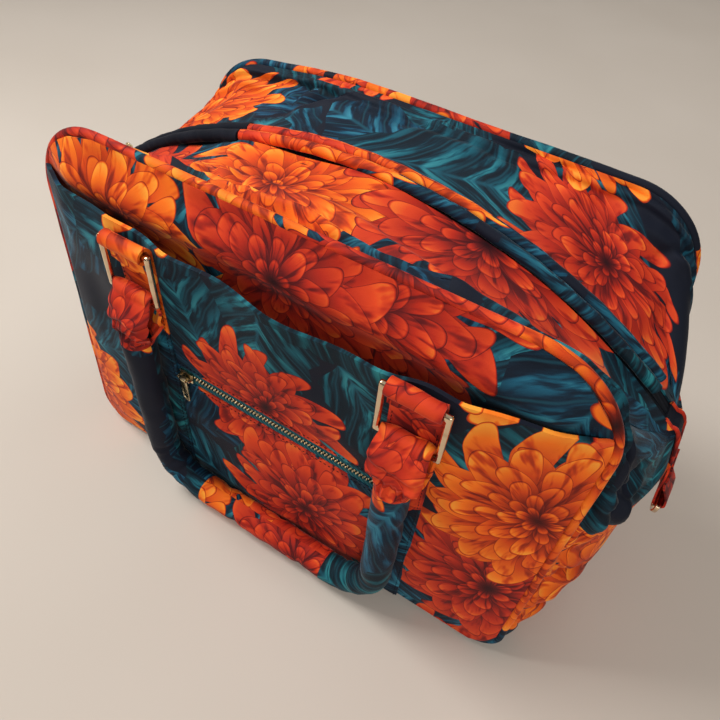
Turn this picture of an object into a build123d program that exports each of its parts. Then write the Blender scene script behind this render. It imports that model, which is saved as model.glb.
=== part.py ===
"""Soft zipped carpet bag with rolled handles, as separate sewn and metal pieces."""

import os
from math import asin, atan, cos, degrees, sin, sqrt, tau

from build123d import *

os.makedirs("parts", exist_ok=True)


# Panels and piping
panel_width = 406
panel_height = 298
bottom_depth = 204
top_depth = 172
panel_top_radius = 56
panel_bottom_radius = 24
panel_thickness = 4
piping_radius = 3.2
seam_gap = 0.3

# Gusset, waisted on top and bulging at the ends
arch_radius = 360
arch_peak = 292
middle_bottom_width = 428
middle_top_width = 472
end_bulge = 20
middle_top_radius = 24
middle_bottom_radius = 42
gusset_thickness = 3
end_seam_height = 178
base_width = 336
base_thickness = 3
board_thickness = 3
board_margin = 12
lining_thickness = 1.2
lining_gap = 1.6

# Slip pocket on the front
pocket_height = 258
pocket_thickness = 3
pocket_flat_width = 256

# Straps, rings and handles
strap_spacing = 208
strap_width = 34
strap_thickness = 2.5
ring_inner_width = 36
ring_inner_height = 34
ring_bar = 4.2
ring_chamfer = 1.2
ring_height = 252
ring_stand_off = 6.8
strap_loop_radius = 6.2
handle_loop_radius = 6.4
ring_play = 0.5
loop_length = 46
loop_neck = 12
handle_radius = 12
handle_set_off = 6.2
handle_low = 16
handle_bend_radius = 42
grip_gap = 0.2

# Pocket zip
zip_height = 138
zip_left = -86
zip_right = 86
zip_slot_height = 14
zip_tape_thickness = 1
tooth_pitch = 2.8
tooth_width = 1.2
tooth_reach = 2.4
tooth_overlap = 0.9
tooth_thickness = 2.2
slider_length = 12
slider_width = 9
slider_plate = 1.2
slider_play = 0.4
bridge_bar = 1.6
bridge_rise = 2.9
pull_width = 6
pull_length = 24
pull_thickness = 1.4
pull_eye_radius = 2.2
pull_hole_radius = 2.2

# Main zip under its two piped lips
lip_radius = 4
lip_parting = 1.8
chain_width = 5
chain_thickness = 2.2
main_tape_width = 15
main_tape_thickness = 1.2
lip_end = 210
tape_end = 227
slider_rest = 219.5
cover_start = 99
main_slot_width = 17.2

# D-rings on the two ends
tab_width = 22
tab_height = 34
tab_thickness = 3
tab_loop_radius = 4.5
d_ring_height = 140
d_ring_inner_width = 25
d_ring_bar = 3
d_ring_play = 0.4
tab_gap = 1

# One overrun for every cut
overrun = 20

# Derived values
half_width = panel_width / 2
half_depth = bottom_depth / 2
lean = atan((bottom_depth - top_depth) / 2 / panel_height)
lean_slope = (bottom_depth - top_depth) / 2 / panel_height
arch_centre = arch_peak - arch_radius
edge_gap = piping_radius + seam_gap
panel_front = half_depth + panel_thickness / 2
pocket_back = panel_front + seam_gap
pocket_front = pocket_back + pocket_thickness
strap_back = pocket_front + seam_gap
strap_front = strap_back + strap_thickness
ring_depth = strap_front + ring_stand_off
ring_drop = ring_inner_height + ring_bar
ring_low = ring_height - ring_drop
ring_bore = ring_bar / 2 / cos(tau / 16) + ring_play
handle_depth = ring_depth + handle_set_off
handle_top = ring_low - loop_length
strap_x = strap_spacing / 2
everywhere = panel_width + bottom_depth
quarter = degrees(tau) / 4
lip_end_deg = degrees(asin(lip_end / arch_radius))
tape_end_deg = degrees(asin(tape_end / arch_radius))
slider_rest_deg = degrees(asin(slider_rest / arch_radius))
cover_start_deg = degrees(asin(cover_start / arch_radius))


def leaning_plane(setback):
    """The front panel's plane, moved into the bag by setback."""
    return Plane(
        origin=(0, setback - half_depth, 0),
        x_dir=(1, 0, 0),
        z_dir=(0, -cos(lean), sin(lean)),
    )


def back_plane(setback):
    """The back panel's plane, with the same up direction as the front one."""
    return Plane(
        origin=(0, half_depth - setback, 0),
        x_dir=(1, 0, 0),
        z_dir=(0, -cos(lean), -sin(lean)),
    )


def rim_wire(inset, low):
    """The panel's rounded outline, drawn as eight edges from the bottom round."""
    w = half_width - inset
    top = panel_height - inset
    r = panel_top_radius - inset
    b = panel_bottom_radius - inset
    rows = [
        Line((b - w, low), (w - b, low)),
        CenterArc((w - b, low + b), b, -quarter, quarter),
        Line((w, low + b), (w, top - r)),
        CenterArc((w - r, top - r), r, 0, quarter),
        Line((w - r, top), (r - w, top)),
        CenterArc((r - w, top - r), r, quarter, quarter),
        Line((-w, top - r), (-w, low + b)),
        CenterArc((b - w, low + b), b, -quarter - quarter, quarter),
    ]
    return Wire(rows)


def middle_face(inset, low):
    """The bag's outline half way between the panels, with its arched top."""
    b = middle_bottom_width / 2 - inset
    t = middle_top_width / 2 - inset
    radius = arch_radius - inset
    top = arch_centre + sqrt(radius**2 - t**2)
    side_x = (b + t) / 2 + end_bulge
    side_z = (low + top) / 2
    rows = [
        Line((-b, low), (b, low)),
        ThreePointArc((b, low), (side_x, side_z), (t, top)),
        ThreePointArc((t, top), (0, arch_peak - inset), (-t, top)),
        ThreePointArc((-t, top), (-side_x, side_z), (-b, low)),
    ]
    face = Face(Wire(rows))
    groups = face.vertices().sort_by(Axis.Y)
    face = face.fillet_2d(middle_bottom_radius - inset, groups[:2])
    groups = face.vertices().sort_by(Axis.Y)
    return face.fillet_2d(middle_top_radius - inset, groups[-2:])


def body_loft(inset, low, setback):
    """The bag's body from panel to panel, inset from its outer surface."""
    front = leaning_plane(setback).from_local_coords(Face(rim_wire(inset, low)))
    across = Plane(origin=(0, 0, 0), x_dir=(1, 0, 0), z_dir=(0, -1, 0))
    middle = across.from_local_coords(middle_face(inset, low))
    back = back_plane(setback).from_local_coords(Face(rim_wire(inset, low)))
    return loft([front, middle, back])


def block(x0, x1, y0, y1, z0, z1):
    """A box between two corners."""
    middle = ((x0 + x1) / 2, (y0 + y1) / 2, (z0 + z1) / 2)
    return Pos(*middle) * Box(x1 - x0, y1 - y0, z1 - z0)


def rod(x0, x1, y, z, radius):
    """A round bar along X."""
    return Pos((x0 + x1) / 2, y, z) * Rot(0, quarter, 0) * Cylinder(radius, x1 - x0)


def turned(shape):
    """The same piece on the back of the bag."""
    return Rot(0, 0, 2 * quarter) * shape


def keep(name, *solids):
    """Write one node."""
    shape = solids[0] if len(solids) == 1 else Compound(children=list(solids))
    export_step(shape, f"parts/{name}.step")


# Body shell, cut into the sewn gusset pieces
shell_outer = body_loft(0, 0, edge_gap)
shell_inner = body_loft(gusset_thickness, gusset_thickness, edge_gap)
shell = shell_outer - shell_inner
seam = seam_gap / 2
far = everywhere
foot = block(-base_width / 2 - seam_gap, base_width / 2 + seam_gap, -far, far, -overrun, overrun)
shell -= foot
ends = shell & block(-far, far, -far, far, -far, end_seam_height - seam)
keep("right_end_gusset", (ends & block(0, far, -far, far, -far, far)).solid())
keep("left_end_gusset", (ends & block(-far, 0, -far, far, -far, far)).solid())
tops = shell & block(-far, far, -far, far, end_seam_height + seam, far)
slot = main_slot_width / 2
keep("front_top_gusset", (tops & block(-far, far, -far, -slot, 0, far)).solid())
keep("rear_top_gusset", (tops & block(-far, far, slot, far, 0, far)).solid())

# Cloth tabs that close the slot past both ends of the zip
tab_start = tape_end + seam_gap
tab_half = slot - seam_gap
keep("right_zip_end_tab", (tops & block(tab_start, far, -tab_half, tab_half, 0, far)).solid())
keep("left_zip_end_tab", (tops & block(-far, -tab_start, -tab_half, tab_half, 0, far)).solid())

# Base panel, board and lining
base_depth = half_depth - edge_gap
keep("base_panel", block(-base_width / 2, base_width / 2, -base_depth, base_depth, 0, base_thickness))
board_x = base_width / 2 - board_margin
board_y = base_depth - board_margin
board_top = base_thickness + board_thickness
keep("base_board", block(-board_x, board_x, -board_y, board_y, base_thickness, board_top))
lining_inset = gusset_thickness + lining_gap
lining_low = board_top + seam_gap
lining_back = edge_gap
lining_outer = body_loft(lining_inset, lining_low, lining_back)
lining_inner = body_loft(
    lining_inset + lining_thickness,
    lining_low + lining_thickness,
    lining_back + lining_thickness,
)
mouth = main_tape_width + seam_gap
mouth_cut = block(-far, far, -mouth, mouth, end_seam_height, far)
keep("lining", (lining_outer - lining_inner - mouth_cut).solid())

# Panels inside the piping
panel_edge = rim_wire(edge_gap, piping_radius + edge_gap)
front_plate = extrude(
    leaning_plane(panel_thickness / 2).from_local_coords(Face(panel_edge)),
    panel_thickness,
)
keep("front_panel", front_plate)
keep("back_panel", turned(front_plate))

# Piping round both panels
piping_path = leaning_plane(0).from_local_coords(rim_wire(0, piping_radius))
start = Plane(origin=piping_path @ 0, z_dir=piping_path % 0)
front_piping = sweep(start * Circle(piping_radius), path=piping_path)
keep("front_piping", front_piping)
keep("back_piping", turned(front_piping))


# Slip pocket: lies on the leaning panel at its sides and stands upright in the middle
def pocket_section(z, back, thickness):
    """The pocket's cut at a height, as a closed outline."""
    side = back - lean_slope * z
    w = half_width
    c = pocket_flat_width / 2
    points = [
        (-w, -side - thickness, z),
        (-c, -back - thickness, z),
        (c, -back - thickness, z),
        (w, -side - thickness, z),
        (w, -side, z),
        (c, -back, z),
        (-c, -back, z),
        (-w, -side, z),
    ]
    return Face(Wire.make_polygon(points, close=True))


def pocket_layer(z0, z1, back, thickness):
    """A layer that follows the pocket between two heights."""
    return loft([pocket_section(z0, back, thickness), pocket_section(z1, back, thickness)], ruled=True)


upright = Plane(origin=(0, -half_depth + overrun, 0), x_dir=(1, 0, 0), z_dir=(0, -1, 0))
pocket_trim = extrude(
    upright.from_local_coords(Face(rim_wire(edge_gap, piping_radius + edge_gap))),
    half_depth,
)
zip_slot = block(
    zip_left, zip_right, -far, far, zip_height - zip_slot_height / 2, zip_height + zip_slot_height / 2
)
pocket = pocket_layer(0, pocket_height, pocket_back, pocket_thickness) & pocket_trim
keep("front_pocket_panel", (pocket - zip_slot).solid())

strap_half = strap_width / 2


# Straps folded over the upper bars of the rings
def strap(x, back):
    """A strap from the bottom seam up and over a ring's upper bar."""
    low = piping_radius + edge_gap
    fold = ring_height + ring_bore
    loop_top = ring_height + strap_loop_radius
    front = back + strap_thickness
    body = block(x - strap_half, x + strap_half, -front, -back, low, loop_top)
    body += block(x - strap_half, x + strap_half, -ring_depth, -back, fold, loop_top)
    body += rod(x - strap_half, x + strap_half, -ring_depth, ring_height, strap_loop_radius)
    return (body - rod(x - far, x + far, -ring_depth, ring_height, ring_bore)).solid()


def ring(x):
    """A rectangular ring of chamfered bar, hanging from its upper bar."""
    middle = (ring_height + ring_low) / 2
    outer_w = ring_inner_width + 2 * ring_bar
    outer_h = ring_inner_height + 2 * ring_bar
    body = Box(outer_w, ring_bar, outer_h) - Box(ring_inner_width, overrun, ring_inner_height)
    body = chamfer(body.edges(), ring_chamfer)
    return Pos(x, -ring_depth, middle) * body.solid()


def handle_loop(x):
    """The handle's gathered end, folded round a ring's lower bar."""
    w = strap_half
    body = rod(x - w, x + w, -ring_depth, ring_low, handle_loop_radius)
    neck = ring_low - loop_neck
    head = Plane(origin=(x, -ring_depth, ring_low)) * Rectangle(2 * w, 2 * handle_loop_radius)
    waist = Plane(origin=(x, -ring_depth, neck)) * Rectangle(2 * w, 2 * handle_loop_radius)
    body += loft([head.face(), waist.face()], ruled=True)
    roll = Plane(origin=(x, -handle_depth, handle_top)) * Circle(handle_radius)
    body += loft([waist.face(), roll.face()])
    return (body - rod(x - far, x + far, -ring_depth, ring_low, ring_bore)).solid()


def handle_side(side):
    """One leg of the rolled handle with its bend."""
    x = side * strap_x
    bend = handle_bend_radius
    top = (x, -handle_depth, handle_top - grip_gap)
    knee = (x, -handle_depth, handle_low + bend)
    centre = (x - side * bend, -handle_depth, handle_low + bend)
    toe = (x - side * bend, -handle_depth, handle_low)
    share = sqrt(2) / 2
    elbow = (centre[0] + side * bend * share, -handle_depth, centre[2] - bend * share)
    head = Plane(origin=top, z_dir=(0, 0, -1)) * Circle(handle_radius).face()
    leg = Solid.extrude(head, Vector(*knee) - Vector(*top))
    arc = Wire([ThreePointArc(knee, elbow, toe)])
    bent = sweep(Plane(origin=knee, z_dir=(0, 0, -1)) * Circle(handle_radius), path=arc)
    return (Part() + leg + bent).solid()


grip_half = strap_x - handle_bend_radius - grip_gap
handle_grip = rod(-grip_half, grip_half, -handle_depth, handle_low, handle_radius)
for prefix, place in (("front", lambda s: s), ("back", turned)):
    back = strap_back if prefix == "front" else panel_front + seam_gap
    for word, side in (("left", -1), ("right", 1)):
        x = side * strap_x
        keep(f"{prefix}_{word}_ring", place(ring(x)))
        keep(f"{prefix}_{word}_handle_loop", place(handle_loop(x)))
    keep(f"{prefix}_handle_sides", place(handle_side(-1)), place(handle_side(1)))
    keep(f"{prefix}_handle_grip", place(handle_grip))
keep("front_left_strap", strap(-strap_x, strap_back))
keep("front_right_strap", strap(strap_x, strap_back))
# On the back the straps lie on the panel itself at the bottom and stand off it higher up
keep("back_left_strap", turned(strap(-strap_x, panel_front + seam_gap)))
keep("back_right_strap", turned(strap(strap_x, panel_front + seam_gap)))

# Pocket zip
tape_middle = pocket_back + pocket_thickness / 2
tape_back = tape_middle - zip_tape_thickness / 2
tape_edge = zip_slot_height / 2 - seam_gap
tape_inner = tooth_reach + slider_play / 4
tape_x0 = zip_left + seam_gap
tape_x1 = zip_right - seam_gap
tape_y0 = -tape_back - zip_tape_thickness
tape_upper = block(tape_x0, tape_x1, tape_y0, -tape_back, zip_height + tape_inner, zip_height + tape_edge)
tape_lower = block(tape_x0, tape_x1, tape_y0, -tape_back, zip_height - tape_edge, zip_height - tape_inner)
keep("pocket_zip_tape", tape_upper, tape_lower)
teeth_x0 = tape_x0 + slider_length + 2 * slider_play
tooth_count = int((tape_x1 - teeth_x0) / tooth_pitch)
tooth_y0 = -tape_middle - tooth_thickness / 2
tooth_y1 = -tape_middle + tooth_thickness / 2
teeth = []
for number in range(tooth_count):
    x = teeth_x0 + number * tooth_pitch
    z0 = zip_height - tooth_overlap
    teeth.append(block(x, x + tooth_width, tooth_y0, tooth_y1, z0, zip_height + tooth_reach))
    x += tooth_pitch / 2
    z1 = zip_height + tooth_overlap
    teeth.append(block(x, x + tooth_width, tooth_y0, tooth_y1, zip_height - tooth_reach, z1))
keep("pocket_zip_teeth", *teeth)


def zip_pull():
    """A pull that hangs from the origin along -Z, with its eye along X."""
    body = rod(-pull_width / 2, pull_width / 2, 0, 0, pull_eye_radius)
    tip = -pull_length
    body += block(-pull_width / 2, pull_width / 2, -pull_thickness / 2, pull_thickness / 2, tip, 0)
    body -= rod(-far, far, 0, 0, bridge_bar / 2 + slider_play)
    window = Pos(0, 0, tip + 2 * pull_hole_radius) * Rot(quarter, 0, 0)
    return (body - window * Cylinder(pull_hole_radius, overrun)).solid()


slider_x = tape_x0 + slider_length / 2 + slider_play
plate_back = tape_middle + tooth_thickness / 2 + slider_play
plate_front = plate_back + slider_plate
flange_back = tape_back + zip_tape_thickness + slider_play
bridge_depth = plate_front + bridge_rise
slider_x0 = slider_x - slider_length / 2
slider_x1 = slider_x + slider_length / 2
slider_z0 = zip_height - slider_width / 2
slider_z1 = zip_height + slider_width / 2
slider = block(slider_x0, slider_x1, -plate_front, -plate_back, slider_z0, slider_z1)
slider += block(slider_x0, slider_x1, -plate_back, -flange_back, slider_z1 - slider_plate, slider_z1)
slider += block(slider_x0, slider_x1, -plate_back, -flange_back, slider_z0, slider_z0 + slider_plate)
post = bridge_bar / 2
bridge_top = bridge_depth + post
post_z0 = zip_height - post
post_z1 = zip_height + post
slider += block(slider_x0, slider_x0 + bridge_bar, -bridge_top, -plate_front, post_z0, post_z1)
slider += block(slider_x1 - bridge_bar, slider_x1, -bridge_top, -plate_front, post_z0, post_z1)
slider += rod(slider_x0, slider_x1, -bridge_depth, zip_height, post)
keep("pocket_zip_slider", slider.solid())
keep("pocket_zip_pull", Pos(slider_x, -bridge_depth, zip_height) * zip_pull())


# Main zip: everything on it follows the arch round its centre
arch_axis = Axis((0, 0, arch_centre), (0, 1, 0))


def arch_plane(y, radius, turn_deg):
    """The plane across the arch at an angle from upright."""
    turn = turn_deg / degrees(tau) * tau
    out = (sin(turn), 0, cos(turn))
    origin = (radius * out[0], y, arch_centre + radius * out[2])
    return Plane(origin=origin, x_dir=(0, 1, 0), z_dir=(out[2], 0, -out[0]))


def along_arch(outline, y, radius, start_deg, end_deg):
    """An outline carried along the arch, between two angles from upright."""
    face = arch_plane(y, radius, start_deg) * outline
    return revolve(face, arch_axis, end_deg - start_deg).solid()


def arch_band(y0, y1, inner, outer, start_deg, end_deg):
    """A flat band along the arch."""
    section = Rectangle(y1 - y0, outer - inner)
    return along_arch(section, (y0 + y1) / 2, (inner + outer) / 2, start_deg, end_deg)


tape_outer = arch_radius - gusset_thickness - seam_gap
tape_inner_radius = tape_outer - main_tape_thickness
chain_half = chain_width / 2
chain_inner = (tape_outer + tape_inner_radius) / 2 - chain_thickness / 2
chain_outer = chain_inner + chain_thickness
band = (tape_inner_radius, tape_outer, -tape_end_deg, tape_end_deg)
front_tape = arch_band(-main_tape_width, -chain_half - seam_gap, *band)
rear_tape = arch_band(chain_half + seam_gap, main_tape_width, *band)
keep("main_zip_tape", front_tape, rear_tape)
chain = arch_band(-chain_half, chain_half, chain_inner, chain_outer, -tape_end_deg, tape_end_deg)
keep("main_zip_chain", chain)
main_plate_inner = chain_outer + slider_play
main_plate_outer = main_plate_inner + slider_plate
lip_ring = main_plate_outer + slider_play + lip_radius
lip_offset = lip_parting / 2 + lip_radius


def lip(y, start_deg, end_deg):
    """One piped lip over the zip."""
    return along_arch(Circle(lip_radius), y, lip_ring, start_deg, end_deg)


keep("front_zip_lip", lip(-lip_offset, -cover_start_deg, lip_end_deg))
keep("rear_zip_lip", lip(lip_offset, -cover_start_deg, lip_end_deg))

# Dark end pieces of the lips, over the left end of the zip
cover_gap_deg = degrees(seam_gap / arch_radius)
cover_front = lip(-lip_offset, -lip_end_deg, -cover_start_deg - cover_gap_deg)
cover_rear = lip(lip_offset, -lip_end_deg, -cover_start_deg - cover_gap_deg)
keep("left_zip_end_lips", cover_front, cover_rear)

# Main slider with a thin fin that stands up between the lips, and its pull
fin_half = lip_parting / 2 - slider_play
eye_ring = lip_ring + lip_radius + pull_eye_radius + slider_play
plate_z0 = arch_centre + main_plate_inner
plate_z1 = arch_centre + main_plate_outer
half_length = slider_length / 2
half_slider = slider_width / 2
main_slider = block(-half_length, half_length, -half_slider, half_slider, plate_z0, plate_z1)
flange_low = arch_centre + tape_outer + slider_play
flange_in = half_slider - slider_plate
main_slider += block(-half_length, half_length, flange_in, half_slider, flange_low, plate_z1)
main_slider += block(-half_length, half_length, -half_slider, -flange_in, flange_low, plate_z1)
eye_z = arch_centre + eye_ring
fin_width = pull_eye_radius + bridge_bar
main_slider += block(-fin_width, fin_width, -fin_half, fin_half, plate_z0, eye_z)
hub = Pos(0, 0, eye_z) * Rot(quarter, 0, 0)
main_slider += hub * Cylinder(fin_width, 2 * fin_half)
main_slider -= hub * Cylinder(bridge_bar / 2 + slider_play, overrun)
keep("main_zip_slider", turned(main_slider.solid().rotate(arch_axis, slider_rest_deg)))

# The pull is a frame whose cross bar runs through the fin's eye
frame_half = pull_width / 2
frame_thickness = bridge_bar
bar_half = bridge_bar / 2
main_pull = block(-bar_half, pull_length, -frame_half, frame_half, -frame_thickness / 2, frame_thickness / 2)
frame_wall = bridge_bar
window_end = bar_half + 2 * fin_width
main_pull -= block(
    bar_half, window_end, frame_wall - frame_half, frame_half - frame_wall, -overrun, overrun
)
main_pull = Pos(0, 0, eye_z) * main_pull
keep("main_zip_pull", turned(main_pull.solid().rotate(arch_axis, slider_rest_deg)))


# D-rings on tabs at both ends
def side_reach(z):
    """How far out the end's middle line stands at a height."""
    b = middle_bottom_width / 2
    t = middle_top_width / 2
    top = arch_centre + sqrt(arch_radius**2 - t**2)
    m = (b + t) / 2 + end_bulge
    half = top / 2
    first = (m**2 + half**2 - b**2) / 2
    second = (t**2 + top**2 - b**2) / 2
    spread = (m - b) * top - (t - b) * half
    centre_x = (first * top - second * half) / spread
    centre_z = ((m - b) * second - (t - b) * first) / spread
    return centre_x + sqrt((b - centre_x) ** 2 + centre_z**2 - (z - centre_z) ** 2)


def end_tab():
    """The right end's tab with a loop at its foot for the D-ring's straight bar."""
    w = tab_width / 2
    inner = -tab_loop_radius
    body = block(inner, inner + tab_thickness, -w, w, 0, tab_height)
    barrel = Rot(quarter, 0, 0)
    body += barrel * Cylinder(tab_loop_radius, tab_width)
    body -= barrel * Cylinder(d_ring_bar / 2 * sqrt(2) + d_ring_play, far)
    inward = atan((side_reach(d_ring_height) - side_reach(d_ring_height + tab_height)) / tab_height)
    return Pos(tab_x, 0, d_ring_height) * Rot(0, -degrees(inward), 0) * body.solid()


def d_ring():
    """A flat D: a straight bar in the tab's loop and a half round below it."""
    inner = d_ring_inner_width / 2
    outer = inner + d_ring_bar
    across = Plane(origin=(tab_x, 0, d_ring_height), x_dir=(0, 1, 0), z_dir=(1, 0, 0))
    bar_low = -d_ring_bar / 2
    bow = Circle(outer) - Circle(inner)
    bow &= Pos(0, -overrun + bar_low) * Rectangle(4 * outer, 2 * overrun)
    bow += Rectangle(2 * sqrt(outer**2 - bar_low**2), d_ring_bar)
    return extrude(across * bow, d_ring_bar / 2, both=True).solid()


tab_x = side_reach(d_ring_height) + tab_gap + tab_loop_radius
right_tab = end_tab()
right_ring = d_ring()
keep("right_d_ring_tab", right_tab)
keep("right_d_ring", right_ring)
keep("left_d_ring_tab", turned(right_tab))
keep("left_d_ring", turned(right_ring))
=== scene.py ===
from math import asin, atan, atan2, cos, hypot, pi, radians, sin, sqrt

import bmesh
import bpy
import numpy as np
from bpy.props import FloatProperty, FloatVectorProperty, IntProperty, PointerProperty
from bpy.types import Operator, Panel, PropertyGroup
from mathutils import Matrix, Vector


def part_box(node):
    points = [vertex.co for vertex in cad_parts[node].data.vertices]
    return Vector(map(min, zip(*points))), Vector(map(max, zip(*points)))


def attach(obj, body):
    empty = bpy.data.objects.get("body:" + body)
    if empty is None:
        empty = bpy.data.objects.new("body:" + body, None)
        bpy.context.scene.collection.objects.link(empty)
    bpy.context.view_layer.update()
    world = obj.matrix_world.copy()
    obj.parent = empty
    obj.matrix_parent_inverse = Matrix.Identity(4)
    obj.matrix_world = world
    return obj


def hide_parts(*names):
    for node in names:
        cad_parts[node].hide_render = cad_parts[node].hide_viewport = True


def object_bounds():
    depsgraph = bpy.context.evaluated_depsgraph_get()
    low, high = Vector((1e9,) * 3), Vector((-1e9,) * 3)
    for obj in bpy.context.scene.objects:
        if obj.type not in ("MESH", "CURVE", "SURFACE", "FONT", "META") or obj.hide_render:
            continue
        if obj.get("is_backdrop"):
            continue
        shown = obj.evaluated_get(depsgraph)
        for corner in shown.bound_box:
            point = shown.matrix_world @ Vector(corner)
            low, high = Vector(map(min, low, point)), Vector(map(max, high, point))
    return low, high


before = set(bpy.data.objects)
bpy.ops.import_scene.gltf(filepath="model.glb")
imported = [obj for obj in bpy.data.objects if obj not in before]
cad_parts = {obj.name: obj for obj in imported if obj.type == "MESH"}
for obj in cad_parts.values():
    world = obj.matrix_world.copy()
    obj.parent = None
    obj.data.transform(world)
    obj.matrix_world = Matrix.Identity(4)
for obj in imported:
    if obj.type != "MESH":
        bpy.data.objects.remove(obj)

bl_info = {
    "name": "Carpet bag",
    "version": (1, 0, 0),
    "blender": (4, 5, 0),
    "location": "View3D > Sidebar > Carpet bag",
    "description": "Builds a soft printed velvet bag on its measured frame",
    "category": "Object",
}


def length(name, text, value):
    """A length property in metres."""
    return FloatProperty(name=name, description=text, default=value, unit="LENGTH", precision=4)


class BagBody(PropertyGroup):
    """Sizes that the cloth shares with the solid model."""

    panel_width: length("Panel width", "Width of the front and back panels", 0.406)
    panel_height: length("Panel height", "Height of the panels along their slope", 0.298)
    bottom_depth: length("Bottom depth", "Depth between the panels at the floor", 0.204)
    top_depth: length("Top depth", "Depth between the panels at the rims", 0.172)
    top_radius: length("Top radius", "Upper corner radius of the panels", 0.056)
    bottom_radius: length("Bottom radius", "Lower corner radius of the panels", 0.024)
    piping: length("Piping radius", "Radius of the cord in the panel seams", 0.0032)
    setback: length("Seam setback", "Distance of the gusset from the panel plane", 0.0035)
    arch_radius: length("Arch radius", "Radius of the line that the zip follows", 0.360)
    arch_peak: length("Arch peak", "Height of the gusset in the middle", 0.292)
    middle_bottom: length("Middle foot width", "Width at the floor, half way in", 0.428)
    middle_top: length("Middle top width", "Width at the ends of the arch", 0.472)
    end_bulge: length("End bulge", "How far the ends swell", 0.020)
    end_seam: length("End seam height", "Height of the seam across each end", 0.178)
    base_width: length("Base width", "Width of the base panel", 0.336)
    slot: length("Slot half width", "Half of the opening for the zip", 0.0086)
    lip_ring: length("Lip line radius", "Radius of the line of the lips", 0.3632)
    lip: length("Lip radius", "Radius of one lip", 0.004)
    lip_offset: length("Lip offset", "Distance of a lip from the middle", 0.0049)
    lip_end: length("Lip end", "Place of the lips' ends", 0.210)
    lip_change: length("Lip change", "Place where the dark lips begin on the left", 0.099)
    tape_end: length("Tape end", "Place where the zip's end tabs begin", 0.2273)
    tab_x: length("End ring place", "Distance of a D-ring's bar from the middle", 0.25165)
    tab_z: length("End ring height", "Height of a D-ring's bar", 0.140)
    slump: length("Slump", "How far the back's left corner sinks", 0.014)


class BagFront(PropertyGroup):
    """Sizes of the pocket, straps, rings and handles."""

    pocket_height: length("Pocket height", "Height of the pocket's open edge", 0.258)
    pocket_back: length("Pocket back", "Distance of the pocket's back from the middle", 0.1043)
    pocket_flat: length("Pocket flat width", "Upright middle of the pocket", 0.256)
    zip_height: length("Zip height", "Height of the pocket zip", 0.138)
    zip_half: length("Zip half length", "Half of the pocket zip's slot", 0.086)
    slot_height: length("Slot height", "Height of the zip's slot", 0.014)
    strap_x: length("Strap place", "Distance of a strap from the middle", 0.104)
    strap_half: length("Strap half width", "Half width of a strap", 0.017)
    ring_depth: length("Ring depth", "Distance of the rings from the middle", 0.1169)
    ring_high: length("Upper bar height", "Height of a ring's upper bar", 0.252)
    ring_low: length("Lower bar height", "Height of a ring's lower bar", 0.2138)
    handle_depth: length("Handle depth", "Distance of the handle from the middle", 0.1231)
    handle_top: length("Handle top", "Height where the roll begins", 0.1758)
    handle_low: length("Handle foot", "Height of the grip's middle line", 0.016)
    handle_radius: length("Handle radius", "Radius of the rolled handle", 0.012)
    handle_bend: length("Handle bend", "Radius of the handle's bends", 0.042)


class BagCloth(PropertyGroup):
    """How the velvet hangs."""

    thickness: length("Thickness", "Thickness of the padded velvet", 0.0028)
    puff: length("Puff", "How far the upper front swells over the pocket", 0.013)
    ridge: length("Ridge", "Height of the fold beside the piping", 0.0074)
    cap: length("Cap", "Most that settling may move a point out or along", 0.009)
    sink: length("Sink", "Most that settling may move a point in", 0.003)
    growth: FloatProperty(name="Growth", description="Spare cloth between the seams", default=0.055)
    pressure: FloatProperty(name="Pressure", description="Push of the padding", default=0.6)
    panel_share: FloatProperty(name="Panel share", description="Spare cloth in a panel", default=0.3)
    frames: IntProperty(name="Frames", description="Steps of the settling", default=18)


class BagPrint(PropertyGroup):
    """Colours and scale of the printed cloth."""

    ground: FloatVectorProperty(
        name="Ground",
        description="Near black ground",
        default=(0.004, 0.006, 0.014),
        size=3,
        subtype="COLOR",
    )
    bloom: length("Bloom pitch", "Distance between the large flowers", 0.128)
    share: FloatProperty(name="Share", description="Share of the places that hold a flower", default=0.60)
    leaf: length("Leaf pitch", "Distance between the leaves", 0.105)


# Meshes

# Edges of cloth that turn more than this stay crisp
SHARP_ANGLE = radians(50.0)
# A point well inside the bag, from which outer sides face away
BAG_MIDDLE = (0.0, 0.0, 0.15)
GUSSET_MIDDLE = (0.0, 0.0, 0.12)
# Gap left at a seam between two pieces
SEAM_GAP = 0.0003
# Rounded foot and shoulder of the outline half way between the panels
FOOT_TRIM = 0.024
SHOULDER_CROP = 0.006
# How far the panels' faces stand out from their planes, and stitches from the cloth
PANEL_PROUD = 0.0022
STITCH_PROUD = 0.0002
# Thickness of the straps' cloth, and radius of its folds round a ring's upper and lower bars
STRAP_CLOTH = 0.0022
STRAP_FOLD = 0.0036
LOOP_FOLD = 0.0062
# Distance of the lining inside the bag's outer surface, and its thickness
LINING_INSET = 0.0068
LINING_CLOTH = 0.0008
# Where each piece is cut from the cloth, across and up in metres
CUTS = {
    "front_top_gusset": (0.07, 0.05),
    "rear_top_gusset": (0.66, 0.30),
    "right_end_gusset": (1.70, 0.80),
    "left_end_gusset": (1.83, 0.52),
    "front_panel": (1.985, 0.58),
    "back_panel": (2.31, 0.17),
    "front_pocket_panel": (0.14, 0.41),
    "base_panel": (3.1, 0.2),
    "d_ring_tab": (0.10, 0.47),
    "zip_end_tab": (0.2, 0.3),
    "zip_end_edges": (1.74, 0.84),
    "piping": (0.96, 0.85),
    "zip_lip": (1.33, 0.50),
    "left_strap": (0.45, 0.12),
    "right_strap": (0.15, 0.27),
    "handle_loop": (2.012, 0.84),
    "handle_sides": (0.84, 0.88),
    "handle_grip": (1.88, 0.80),
}
# Shift of the cut for pieces that are turned to the other side
TURNED_CUT = (0.37, 0.21)


def cut_at(piece, shift=0.0):
    """Where a piece is cut from the cloth."""
    across, up = CUTS[piece]
    return across + shift, up


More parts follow.
